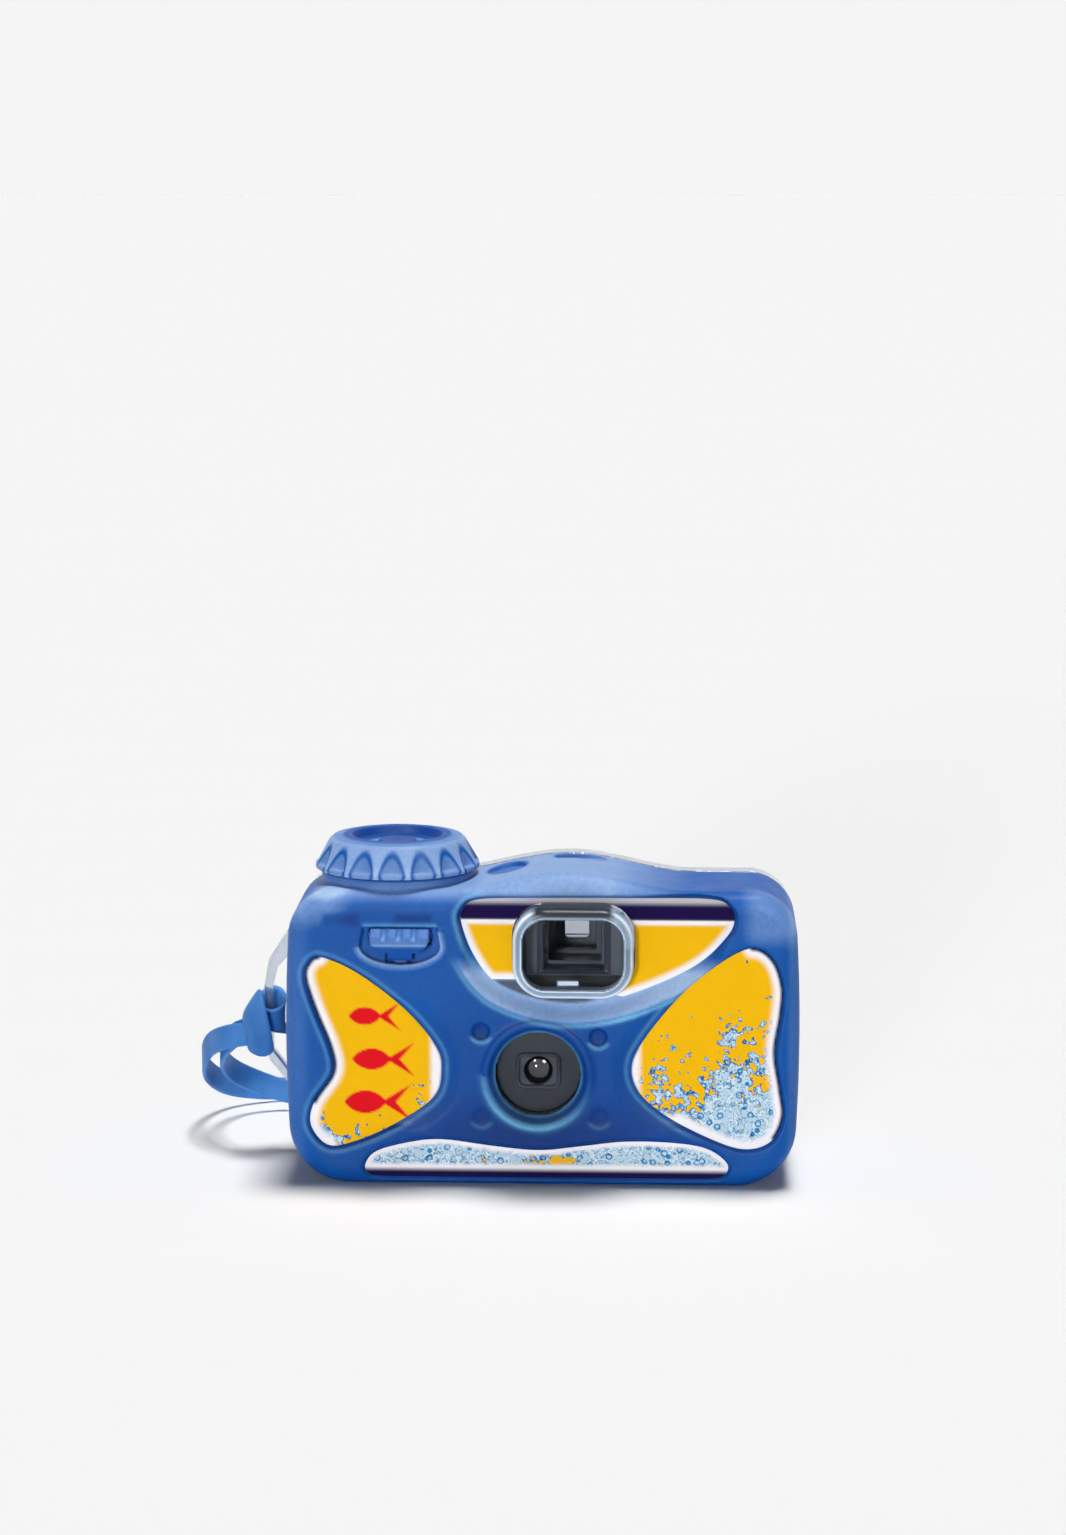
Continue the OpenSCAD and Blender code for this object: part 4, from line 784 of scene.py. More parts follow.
INNER_R, ROOT_Y = 3.0, INNER_Y - 0.5
COLLAR_FOOT, COLLAR_EDGE, COLLAR_FILLET, COLLAR_BACK_LOW = BODY_H - 4, 0.8, 1.2, BODY_H + 0.3
COLLAR_ROOM_R, BOSS_R, BOSS_LOW = 17.0, 7.0, 64.0


def knob_seat(shell, x, y, z):
    """Shell with the collar and the boss under the knob."""
    r = knob_radius(x, y)
    collar = tube(r, z, COLLAR_R, COLLAR_FOOT, COLLAR_TOP, COLLAR_EDGE)
    clear_of_back = union(y - PART_Y, COLLAR_BACK_LOW - z)
    room = common(r - COLLAR_ROOM_R, z - BODY_H + WALL)
    shell = soft_union(shell, common(collar, clear_of_back, -room), COLLAR_FILLET)
    return union(shell, tube(r, z, BOSS_R, BOSS_LOW, BODY_H))


# Block behind the trigger, the bowl in it, the raised rim under it and the plunger's guide
BLOCK_LO, BLOCK_HI, BLOCK_R = (TRIG_X - 12.5, ROOT_Y, 51.8), (TRIG_X + 12.5, -14.3, 65.5), 0.4
BOWL_EDGE, BOWL_SLOPE, POCKET_FILLET = 0.9, 0.45, 0.5
RIM_OUT, RIM_SINK, RIM_R, RIM_END_LEFT, RIM_END_RIGHT = 0.9, 0.1, 0.75, 4.4, 0.2
GUIDE_R, GUIDE_FRONT, GUIDE_BACK = 3.65, -18.2, -16.0


def trigger_seat(shell, x, y, z):
    """Shell with the trigger's pocket."""
    shell = union(shell, round_box(x, y, z, BLOCK_LO, BLOCK_HI, BLOCK_R))
    pocket = outline_dist(TRIGGER_POCKET, x, z)
    bowl = FRONT_Y + BOWL_EDGE + BOWL_SLOPE * np.maximum(-pocket, 0)
    shell = soft_cut(shell, common(pocket, y - bowl), POCKET_FILLET)
    rim = np.hypot(pocket - RIM_OUT, y - FRONT_Y - RIM_SINK) - RIM_R
    rim = common(rim, z - POCKET_TOP + np.where(x > TRIG_X, RIM_END_RIGHT, RIM_END_LEFT))
    guide = tube(np.hypot(x - TRIG_X, z - PLUNGER_Z), y, GUIDE_R, GUIDE_FRONT, GUIDE_BACK)
    return union(soft_union(shell, rim, POCKET_FILLET), guide)


# Bores through the front shell: radius, start and end
FAR = 1000.0
PLUNGER_BORE, SEAL_SEAT, SHAFT_BORE = (1.46, -20.7, FAR), (2.45, -20.7, -16.8), (4.06, 60.0, FAR)
HUB_ROOM, PIN_BORE = (2.3, -7.4, 7.4), (1.02, -11.0, 11.0)
LENS_HOLE, LENS_SEAT = (LENS_R, -FAR, -10.0), (LENS_R + 2.06, -19.9, -10.0)
# Room for the trigger's nose, and for the viewfinder window
NOSE_LO, NOSE_HI = (TRIG_X - 3.3, FRONT_Y - 1, 55.2), (TRIG_X + 3.3, -19.2, 60.4)
FINDER_GAP, FINDER_BACK = 0.2, -10.0


def shell_openings(x, y, z):
    guide_r, hub_r = np.hypot(x - TRIG_X, z - PLUNGER_Z), np.hypot(y - TRIG_Y, z - TRIG_Z)
    rho, knob_r, across = lens_radius(x, z), knob_radius(x, y), x - TRIG_X
    finder = round_rect(x, z, VF_X, VF_Z, VF_W + FINDER_GAP, VF_H + FINDER_GAP, VF_R)
    return union(
        rod(guide_r, y, *PLUNGER_BORE), rod(guide_r, y, *SEAL_SEAT), rod(knob_r, z, *SHAFT_BORE),
        box(x, y, z, NOSE_LO, NOSE_HI), rod(hub_r, across, *HUB_ROOM), rod(hub_r, across, *PIN_BORE),
        rod(rho, y, *LENS_HOLE), rod(rho, y, *LENS_SEAT), common(finder, y - FINDER_BACK))


def front_shell(x, y, z):
    outline = outline_dist(HOUSING, x, z)
    outer = rounded_slab(outline, y, FRONT_Y + front_depth(x, z), EDGE_R)
    cavity = rounded_slab(outline + WALL, y, INNER_Y, INNER_R)
    shell = common(outer, -cavity, y - PART_Y)
    shell = trigger_seat(knob_seat(shell, x, y, z), x, y, z)
    for px, pz, _ in POSTS:
        shell = union(shell, tube(np.hypot(x - px, z - pz), y, POST_R, ROOT_Y, POST_BACK))
    shell = common(shell, -shell_openings(x, y, z))
    oval, slot = deck_dips(x, y)
    shell = soft_cut(shell, common(oval, BODY_H + hump(x) - DIP_DEPTH - z), OVAL_FILLET)
    return soft_cut(shell, common(slot, BODY_H + HUMP_RISE - DIP_DEPTH - z), SLOT_FILLET)


# Paint of the front shell, mostly painted light and shade, in layers that each have an amount and a mask

PLAIN_TONE, SHADOW_TONE, POST_TONE, POST_HIGHLIGHT, FLOOR_DARK = 0.46, -0.22, -0.14, 0.45, 0.85
DIP_TONES, DIP_EDGE_TONE, SLOPE_W = (-0.26, -0.06), -0.22, 4.2
# Middle and half sizes of the painted shade where dark parts show through beside the trigger
SHADOWS = [(-48.2, 65.8, 4.2, 1.4), (-30.8, 66.2, 4.2, 1.0)]


def layered(layers):
    return sum(amount * mask for amount, mask in layers.values())


def shell_tone(x, y, z, front, rho, top, pocket):
    off_knob = rise(knob_radius(x, y), 17, 3)
    by_rim = front * fall(z, np.where(x > TRIG_X, 63.5, 59.6), 0.8)
    tone = PLAIN_TONE + layered({
        # painted light: the deck, the shoulders and the side edges are painted lighter
        "painted light on the deck": (0.42, rise(z, 69, 4) * (1 - 0.95 * rise(x, 14, 26)) * off_knob),
        "left shoulder": (0.30, front * rise(z, 62, 7) * fall(x, -44, 8)),
        "right shoulder": (0.26, front * rise(z, 58, 6) * rise(x, 46, 6)),
        "left edge": (0.12, front * fall(x, -54, 5)),
        "right edge": (0.12, rise(x, 58, 2)),
        # painted shade: darker above the bottom label, round the lens and on the bezel ring
        "above the bottom label": (-0.30, front * bell(x - LENS_X, 36) * bell(z - 13, 9)),
        "round the lens": (-0.12, front * bell(x - LENS_X, 26) * bell(z - 32, 14)),
        "bezel": (-0.06, front * inside(abs(rho - 11.2) - 1.2)),
        # painted light on the slope under the finder and in the trigger's pocket, with painted highlights on
        # the pocket's rim and lip
        "finder slope": (0.50, front * fall(z, 58, 6) * inside(top - SLOPE_W, 0.4)),
        "pocket": (0.10, front * inside(pocket + 0.3)),
        "pocket rim": (0.24, by_rim * bell(pocket - RIM_OUT, 0.8)),
        "pocket lip": (0.34, by_rim * bell(pocket - 0.35, 0.35)),
    })
    for shadow in SHADOWS:
        tone += SHADOW_TONE * front * inside(oblong(x, z, *shadow), 1.2)
    # painted shade inside the two dips in the top and along their edges
    for dip, dip_tone in zip(deck_dips(x, y), DIP_TONES):
        tone += rise(z, BODY_H, 1) * (dip_tone * inside(dip, 0.5) + DIP_EDGE_TONE * bell(dip, 0.6))
    # painted shade in each post's dent, as strong as the post shows
    for px, pz, shown in POSTS:
        tone += shown * POST_TONE * front * inside(np.hypot(x - px, z - pz) - POST_R, 0.4)
    return tone


# Painted highlights: pale light along the bezel's lower left, the lens ring, the slope under the finder, the
# labels' edges, the pocket's top and the posts' dents
def shell_painted_highlights(x, z, front, rho, top):
    turn = np.arctan2(z - LENS_Z, x - LENS_X)
    lower_left = fall(abs(turn + 1.9), 1.9, 1.6)
    slope_edge = front * fall(z, 58, 6) * bell(top - SLOPE_W - 0.6, 0.55)
    glow = layered({
        "bezel line": (0.45, lower_left * bell(rho - BEZEL_R - 0.3, 0.6)),
        "bezel": (0.30, lower_left * bell(rho - BEZEL_R + 0.2, 1.3)),
        "lens ring": (0.35, bell(rho - 10.5, 0.35)),
        "finder slope": (0.42, slope_edge),
        "shine on the slope": (0.50, slope_edge * bell(x - 20, 8)),
        "left of the finder": (0.35, bell(top - 1.2, 0.6) * fall(x, -12, 5)),
        "left label": (0.25, bell(outline_dist(LEFT, x, z) - 1.2, 0.45)),
        "right label": (0.25, bell(outline_dist(RIGHT, x, z) - 1.2, 0.45) * fall(x, 40, 8)),
        "pocket top": (0.45, bell(z - POCKET_TOP - 0.5, 0.45) * fall(abs(x - TRIG_X), 9.2, 0.6)),
    })
    # painted highlight: a crescent of light along the lower edge of each post's dent
    for px, pz, shown in POSTS:
        glow += shown * POST_HIGHLIGHT * bell(np.hypot(x - px, z - pz) - 2.7, 0.45) * fall(z, pz - 0.8, 1.2)
    return glow * front


def shell_paint(verts):
    """Painted shade: deep blue where the dark camera lies close behind; painted light: milky on top; painted
    highlights: pale light along the edges.
    """
    x, y, z = verts.T
    front = fall(y, -11, 8)
    rho = lens_radius(x, z)
    top, pocket = outline_dist(TOP, x, z), outline_dist(TRIGGER_POCKET, x, z)
    finder_floor = inside(top + 0.4, 0.3) * inside(z - TOP_LABEL_LOW, 0.3) * fall(x, 14, 4)
    return {"tone": shell_tone(x, y, z, front, rho, top, pocket), "glow": shell_painted_highlights(x, z, front, rho, top),
            "dark": FLOOR_DARK * finder_floor}


SHELL_STEP = 0.5
carve("front_shell", front_shell, (-63, -24, -1), (63, 19, 78), SHELL_STEP, blue, "blue_shell", shell_paint)


# Clear back shell with the strap loop and the eyepiece

LOOP_OUT = np.array([
    (-60, 60), (-63, 58.5), (-69.2, 49), (-70.4, 42), (-70.4, 26), (-69.2, 23.2), (-64.4, 17.3), (-60, 13)])
LOOP_IN = np.array([
    (-60, 53), (-63, 51.5), (-67, 46.8), (-68.2, 42), (-68.2, 26), (-67, 24.5), (-63, 19.2), (-60, 16.2)])
EYE_Z, EYE_W, EYE_H, EYE_R, EYE_WALL, EYE_OUT, EYE_HALF = 57.25, 12.0, 11.5, 3.0, 2.0, 0.5, 1.0
EYE_FILLET, EYE_EDGE, LOOP_FILLET, LOOP_EDGE = 0.5, 0.3, 0.4, 1.0
BACK_POSTS = [(x, z) for x in (-43, 40) for z in (13, 41)]
BACK_POST_FRONT, LOOP_SET_IN = 14.9, 0.9


def back_shell(x, y, z):
    outline = outline_dist(HOUSING, x, z)
    outer = rounded_slab(outline, -y, -BACK_Y, BACK_EDGE_R)
    cavity = rounded_slab(outline + WALL, -y, -BACK_Y + WALL, BACK_EDGE_R - WALL)
    shell = common(outer, -cavity, PART_Y - y)
    ring = common(outline_dist(LOOP_OUT, x, z), -outline_dist(LOOP_IN, x, z))
    loop = soft_cut(ring, LOOP_HALF - abs(y - LOOP_Y), LOOP_EDGE)
    shell = soft_union(shell, common(loop, -(outline + LOOP_SET_IN)), LOOP_FILLET)
    eye = common(round_rect(x, z, VF_X, EYE_Z, EYE_W, EYE_H, EYE_R), abs(y - BACK_Y - EYE_OUT) - EYE_HALF)
    hollow = round_rect(x, z, VF_X, EYE_Z, EYE_W - 2 * EYE_WALL, EYE_H - 2 * EYE_WALL, EYE_R - EYE_WALL)
    shell = soft_cut(soft_union(shell, eye, EYE_FILLET), common(hollow, BACK_Y + EYE_OUT - y), EYE_EDGE)
    for px, pz in BACK_POSTS:
        shell = union(shell, tube(np.hypot(x - px, z - pz), y, POST_R, BACK_POST_FRONT, BACK_Y - 1))
    return shell


carve("back_shell", back_shell, (-71, 7, -1), (63, 24, 78), SHELL_STEP, clear, "clear_shell")


# Viewfinder window

VF_FRONT, VF_BACK, VF_EDGE_R, VF_INSIDE, VF_WALL = -28.0, -18.4, 3.0, -26.3, 2.0
FLANGE_OUT, FLANGE_Y, FLANGE_HALF = 1.2, -17.8, 0.6
# Glint low in the window: middle and half sizes
GLINT = (6.5, 52.0, 2.6, 0.7)


def finder_outline(x, z):
    return round_rect(x, z, VF_X, VF_Z, VF_W, VF_H, VF_R)


def viewfinder(x, y, z):
    outline = finder_outline(x, z)
    outer = common(rounded_slab(outline, y, VF_FRONT, VF_EDGE_R), y - VF_BACK)
    flange = common(outline - FLANGE_OUT, abs(y - FLANGE_Y) - FLANGE_HALF)
    return common(union(outer, flange), -common(outline + VF_WALL, VF_INSIDE - y))


def viewfinder_paint(verts):
    """Painted light on the bevel, with two painted highlight lines, painted shade on the roof and a painted
    glint.
    """
    x, y, z = verts.T
    rim = finder_outline(x, z)
    bevel = inside(-2.4 - rim, 0.3) * fall(y, -20.5, 1.5)
    roof = rise(z, VF_Z + 7.6, 1.2) * fall(abs(x - VF_X), 10.5, 2)
    lines = 0.46 * bell(rim + 2.3, 0.3) + 0.36 * bell(rim + 0.5, 0.4)
    low, left = fall(z, VF_Z + 2, 10), fall(x, VF_X - 9, 4)
    glint = inside(oblong(x, z, *GLINT), 0.2)
    # painted light on the bevel, lighter low and on the left, with the painted highlight lines
    milky_and_lit = 0.62 + 0.08 * low + 0.08 * left + lines
    haze = np.maximum(bevel * np.maximum(milky_and_lit, 0.9 * roof), 0.92 * glint * fall(y, -26.8, 0.4))
    return {"haze": haze, "shade": bevel * roof * (1 - 0.8 * bell(rim + 2.3, 0.35))}


carve("viewfinder_window", viewfinder, (-9, -29, 45), (25, -16, 72), 0.35, window, "clear_window",
      viewfinder_paint)


# Viewfinder tunnel, with the stepped frames that are seen through the window

TUNNEL_FRONT, TUNNEL_BACK, TUNNEL_LOW, TUNNEL_HIGH = -16.9, 14.8, 51.5, 66.0
TUNNEL_HALF, TUNNEL_WALL, MASK_HALF, MASK_HIGH, MASK_BACK = 8.5, 1.2, 12.0, 67.0, -15.6
FLARE, FLARE_HIGH, FLARE_END, FLARE_LENGTH, FRAME_HALF = 1.4, 0.6, MASK_BACK + 0.4, 1.6, 0.8
# Depth, half width, foot and top of each frame's opening
FRAMES = [(-8.5, 6.4, 53.5, 64.6), (3.0, 5.0, 54.0, 62.8)]
EYE_HOLE_W, EYE_HOLE_H, EYE_HOLE_R, EYE_HOLE_D, END_WALL = 6.0, 5.5, 1.2, 3.0, 2.0


def tunnel(x, y, z):
    across = abs(x - VF_X)
    case = common(across - TUNNEL_HALF, y - TUNNEL_BACK, z - TUNNEL_HIGH)
    mask = common(across - MASK_HALF, y - MASK_BACK, z - MASK_HIGH)
    body = common(union(case, mask), TUNNEL_LOW - z, TUNNEL_FRONT - y)
    flare = FLARE * fall(y, FLARE_END, FLARE_LENGTH)
    room = TUNNEL_WALL - FLARE_HIGH * flare
    bore = common(across - (TUNNEL_HALF - TUNNEL_WALL + flare), TUNNEL_LOW + room - z, z - TUNNEL_HIGH + room,
                  y - TUNNEL_BACK + END_WALL)
    for depth, half, foot, top in FRAMES:
        opening = common(across - half, foot - z, z - top)
        bore = common(bore, -common(abs(y - depth) - FRAME_HALF, -opening))
    eye = round_rect(x, z, VF_X, EYE_Z, EYE_HOLE_W, EYE_HOLE_H, EYE_HOLE_R)
    return common(body, -union(bore, common(eye, TUNNEL_BACK - EYE_HOLE_D - y)))


carve("viewfinder_tunnel", tunnel, (-5, -17.5, 51), (20.5, 15.5, 67.5), 0.4, tunnel_grey, "black_plastic",
      smooth=False)


# Square frame round the taking lens

RETAINER_R, RETAINER_Y, RETAINER_BACK, RETAINER_EDGE, LENS_EYE_R = 10.3, -17.0, -15.5, 0.2, 3.5
# Width, height and corner of the frame, of the line along its edge and of its sunk floor
LENS_FRAME, LENS_LINE, LENS_FLOOR = (11.0, 9.0, 2.0), (10.4, 8.4, 1.8), (9.6, 7.6, 1.6)
FRAME_OUT, FRAME_TAPER, FLOOR_TAPER, FLOOR_SINK = 0.6, 0.6, 0.5, 0.1


def retainer(x, y, z):
    rho, proud = lens_radius(x, z), RETAINER_Y - y
    disc = tube(rho, y, RETAINER_R, RETAINER_Y, RETAINER_BACK, RETAINER_EDGE)
    raised = round_rect(x, z, LENS_X, LENS_Z, *LENS_FRAME) + FRAME_TAPER * proud
    body = union(disc, common(raised, proud - FRAME_OUT, y - RETAINER_BACK))
    sunk_floor = round_rect(x, z, LENS_X, LENS_Z, *LENS_FLOOR) - FLOOR_TAPER * (proud - FRAME_OUT)
    return common(body, -union(common(sunk_floor, -proud - FLOOR_SINK), rho - LENS_EYE_R))


def retainer_paint(verts):
    """Painted light: paler towards the top and inside the frame, with a painted highlight along the lower
    part of its edge.
    """
    x, _, z = verts.T
    edge = round_rect(x, z, LENS_X, LENS_Z, *LENS_LINE)
    tone = 0.18 + 0.06 * rise(z, LENS_Z, 10) + 0.20 * inside(edge + 0.6, 0.3)
    return {"tone": tone + 0.30 * bell(edge, 0.35) * fall(z, LENS_Z + 4, 8)}


carve("lens_retainer", retainer, (-11.5, -18, 17.5), (9.7, -15, 38.6), 0.22, lens_black, "black_plastic",
      retainer_paint, smooth=False)


# Winding knob

# Radius and height of the turned outline
KNOB_PROFILE = np.array([
    (KNOB_R, 0), (KNOB_R, 1), (SHOULDER_R + 0.4, KNOB_H - 1.2), (SHOULDER_R - 0.4, KNOB_H - 0.5),
    (RING_R + 0.3, KNOB_H - 0.2), (RING_R, KNOB_H), (RING_R - 2, KNOB_H), (RING_R - 3.2, KNOB_H - 1.8),
    (5, KNOB_H - 2.4), (4.5, KNOB_H - 1.4), (-1, KNOB_H - 1.4), (-1, KNOB_H - 3), (4.02, KNOB_H - 3),
    (4.02, 0), (6, 0), (6, 2), (RING_R - 2, 3.5), (KNOB_R - 2, 1), (KNOB_R - 2, 0)], float)
FLUTE_R, FLUTE_D, FLUTE_FOOT, FLUTE_EDGE = 4.0, 1.45, 1.3, 0.35
FLUTE_TILT = math.atan2(KNOB_R - SHOULDER_R, KNOB_H) - math.radians(12)


def knob_flute(x, y, z):
    """Distance from the nearest flute down the knob's side, negative in it."""
    r = knob_radius(x, y)
    cell = 2 * np.pi / FLUTES
    turn = np.mod(np.arctan2(y, x - KNOB_X) + cell / 2, cell) - cell / 2
    across = r * np.sin(turn)
    out = r * np.cos(turn) - KNOB_R - (FLUTE_R - FLUTE_D) / math.cos(FLUTE_TILT)
    out = out * math.cos(FLUTE_TILT) + (z - KNOB_Z - 1) * math.sin(FLUTE_TILT)
    return np.hypot(out, across) - FLUTE_R


def knob(x, y, z):
    body = outline_dist(KNOB_PROFILE, knob_radius(x, y), z - KNOB_Z)
    return soft_cut(body, common(knob_flute(x, y, z), KNOB_Z + FLUTE_FOOT - z), FLUTE_EDGE)


def knob_paint(verts):
    """Painted light on the pale ribs between the flutes, dark lines round them, a deep blue ring, painted
    shade in the dish, and painted highlights: a bright ring in the dish and a line along the side.
    """
    x, y, z = verts.T
    r, h = knob_radius(x, y), z - KNOB_Z
    flute, depth = knob_flute(x, y, z), -outline_dist(KNOB_PROFILE, r, h)
    side = rise(r, 15.2, 0.8)
    dish = fall(r, 11.6, 0.8) * rise(h, 4.5, 1)
    tone = 0.77 + layered({
        "ribs": (0.12, side * rise(flute, 0.2, 0.4)),
        "foot": (0.08, side * fall(h, 3.5, 3)),
        "lines round the flutes": (-0.40, side * bell(depth, 0.22) * bell(flute, 0.30)),
        "ring": (-0.50, bell(r - RING_R + 0.9, 0.9) * rise(h, 6.8, 0.5)),
        "dish": (-0.42, dish),
    })
    glow = 0.60 * bell(r - 6.4, 0.8) * dish + 0.30 * side * bell(h - 5.0, 0.8) * inside(0.25 - depth, 0.2)
    return {"tone": tone, "glow": glow}


KNOB_LO = (KNOB_X - KNOB_R - 0.5, -KNOB_R - 0.5, KNOB_Z - 0.5)
KNOB_HI = (KNOB_X + KNOB_R + 0.5, KNOB_R + 0.5, KNOB_Z + KNOB_H + 0.5)
carve("winding_knob", knob, KNOB_LO, KNOB_HI, 0.3, knob_blue, "blue_shell", knob_paint, body="knob")


# Trigger

TRIG_HALF, TRIG_HUB_R, TRIG_BORE, TRIG_BORE_HALF, NOSE_HALF = 7.1, 2.0, 1.06, 9.0, 3.0
TAB_TAPER, TAPER_FROM, TAB_EDGE, HUB_FILLET = 0.35, 0.5, 0.7, 0.4
# Outlines of the tab and the nose, in depth and height from the pin
TAB = np.array([(0, 1.9), (-3.4, 1.9), (-6, 0.4), (-6.5, -2.4), (-5.8, -3.5), (-4.6, -3.5), (-3.4, -2.7),
                (-1.5, -2), (0, -1.3)], float)
NOSE = np.array([(-3.4, -2), (-3, -5.4), (-2.4, -5.9), (-1.6, -5.7), (-1.5, -2)], float)
# Three grooves for the finger, and the slanting line that they follow
GROOVES, GROOVE_PITCH, GROOVE_R, GROOVE_FILLET = (-1, 0, 1), 3.6, 0.95, 0.35
GROOVE_Y, GROOVE_Z, GROOVE_MIDDLE, GROOVE_REACH, SLANT_UP, SLANT_IN = -4.9, 1.5, -4.8, 1.8, 0.8, 0.55


def trigger(x, y, z):
    across, depth, up = x - TRIG_X, y - TRIG_Y, z - TRIG_Z
    hub_r = np.hypot(depth, up)
    tapered = abs(across) - TRIG_HALF + TAB_TAPER * np.maximum(-up - TAPER_FROM, 0) ** 1.5
    tab = soft_cut(outline_dist(TAB, depth, up), -tapered, TAB_EDGE)
    hub = common(hub_r - TRIG_HUB_R, abs(across) - TRIG_HALF)
    nose = common(outline_dist(NOSE, depth, up), abs(across) - NOSE_HALF)
    body = union(soft_union(hub, tab, HUB_FILLET), nose)
    slant = (up - GROOVE_Z) * SLANT_UP - (depth - GROOVE_Y) * SLANT_IN
    for i in GROOVES:
        groove = np.hypot(across - GROOVE_PITCH * i, slant) - GROOVE_R
        body = soft_cut(body, common(groove, abs(depth - GROOVE_MIDDLE) - GROOVE_REACH), GROOVE_FILLET)
    return common(body, -common(hub_r - TRIG_BORE, abs(across) - TRIG_BORE_HALF))


def trigger_paint(verts):
    """Painted light: paler towards its top, with a painted highlight line and a painted dot of light in each
    groove.
    """
    across, up = verts[:, 0] - TRIG_X, verts[:, 2] - TRIG_Z
    tone = 0.42 + 0.24 * rise(up, -1.9, 0.5) + 0.25 * bell(up + 1.6, 0.35)
    dots = sum(bell(np.hypot(across - GROOVE_PITCH * i + 0.3, up + 0.1), 0.45) for i in GROOVES)
    return {"tone": tone, "glow": 0.4 * dots}


TRIG_LO = (TRIG_X - 7.5, TRIG_Y - 7, TRIG_Z - 6.5)
TRIG_HI = (TRIG_X + 7.5, TRIG_Y + 2.5, TRIG_Z + 2.5)
carve("trigger_lever", trigger, TRIG_LO, TRIG_HI, 0.22, blue, "blue_shell", trigger_paint, body="trigger")


# Printed labels

LABEL_T, LABEL_GAP, LABEL_EDGE, LABEL_SPACING = 0.3, 0.02, 0.15, 0.4


def above(outline, z0):
    """Part of an outline that lies above a height."""
    kept = []
    for a, b in zip(outline, np.roll(outline, -1, 0)):
        if a[1] >= z0:
            kept.append(a)
        if (a[1] >= z0) != (b[1] >= z0):
            kept.append(a + (b - a) * (z0 - a[1]) / (b[1] - a[1]))
    return np.array(kept)


def drawn_in(outline, width):
    ahead = unit(np.roll(outline, -1, 0) - np.roll(outline, 1, 0))
    return outline + width * np.stack([ahead[:, 1], -ahead[:, 0]], 1)


def label_triangles(edge, hole):
    """Points and triangles of a flat label, with fine triangles so that its paint is sharp."""
    loops = [edge] if hole is None else [edge, hole]
    lo, hi = edge.min(0), edge.max(0)
    gx, gz = np.meshgrid(np.arange(lo[0], hi[0], LABEL_SPACING), np.arange(lo[1], hi[1], LABEL_SPACING))
    grid = np.stack([gx.ravel(), gz.ravel()], 1)

    def covered(p, room):
        ok = outline_dist(edge, p[:, 0], p[:, 1]) < -room
        return ok if hole is None else ok & (outline_dist(hole, p[:, 0], p[:, 1]) > room)

    points, edges = [], []
    for loop in loops:
        first = len(points)
        points += [Vector(p) for p in loop]
        edges += [(first + i, first + (i + 1) % len(loop)) for i in range(len(loop))]
    points += [Vector(p) for p in grid[covered(grid, 0.3 * LABEL_SPACING)]]
    flat, _, tris, _, _, _ = delaunay_2d_cdt(points, edges, [], 0, 1e-6)
    flat = np.array([(p.x, p.y) for p in flat])
    tris = np.array([t for t in tris if len(t) == 3])
    tris = tris[covered(flat[tris].mean(1), 0.0)]
    u, v = flat[tris[:, 1]] - flat[tris[:, 0]], flat[tris[:, 2]] - flat[tris[:, 0]]
    wrong = u[:, 0] * v[:, 1] - u[:, 1] * v[:, 0] < 0
    tris[wrong] = tris[wrong][:, ::-1]
    return flat, tris


def label_mesh(edge, floor_y, hole):
    """Thin closed sheet on a pocket's floor."""
    flat, tris = label_triangles(edge, hole)
    n = len(flat)
    front = np.stack([flat[:, 0], np.full(n, floor_y - LABEL_T), flat[:, 1]], 1)
    sides = {(int(a), int(b)) for t in tris for a, b in zip(t, np.roll(t, -1))}
    faces = [tuple(t) for t in tris] + [tuple(t[::-1] + n) for t in tris]
    faces += [(b, a, a + n, b + n) for a, b in sides if (b, a) not in sides]
    return np.concatenate([front, front + (0, LABEL_T - LABEL_GAP, 0)]), faces


def label_piece(name, outline, floor_y, look, slot, paint, hole=None):
    edge = drawn_in(outline, LABEL_EDGE)
    verts, faces = label_mesh(edge, floor_y, hole)
    x, z = verts[:, 0], verts[:, 2]
    none = np.zeros(len(x))
    attrs = {"white": none, "ink": none, "red": none, "water": none - 1}
    attrs.update(paint(x, z, -outline_dist(edge, x, z)))
    attrs = {key: np.clip(value, -1, 1) for key, value in attrs.items()}
    new_piece(name + "_print", verts, faces, look, "housing", slot, name, attrs, smooth=False)


# Sides of the labels that have a soft white border, and the part of each that is lined with dark ink
LEFT_WHITE, LEFT_DARK = LEFT[8 * LOOP_STEPS:], LEFT[10 * LOOP_STEPS:]
RIGHT_WHITE, RIGHT_DARK = RIGHT[:10 * LOOP_STEPS], RIGHT[:7 * LOOP_STEPS]
# Width and fade of these borders
WHITE_BORDER, DARK_BORDER = (1.3, 2.0), (0.35, 0.8)
# Inner ends of the side labels, where a straight white border stands
LEFT_END, RIGHT_END, END_FADE = -27.6, 24.6, 1.8
# Place and size of each red fish
FISH = [(-42.6, 42.0, 4.0), (-41.0, 31.4, 4.8), (-42.6, 20.8, 5.2)]


def border(line, x, z, width, fade):
    return 1 - rise(line_dist(line, x, z), width, fade)


def fish(x, z, cx, cz, size):
    """Distance from a fish: a leaf-shaped body and a forked tail."""
    u, v = (x - cx) / size, abs(z - cz) / size
    body = np.hypot(u, v + 0.62) - 1.16
    tail = common(v - 0.62 * (u - 0.75), 0.6 * (u - 1.42) - 0.5 * v, 0.75 - u)
    return size * np.minimum(body, tail)


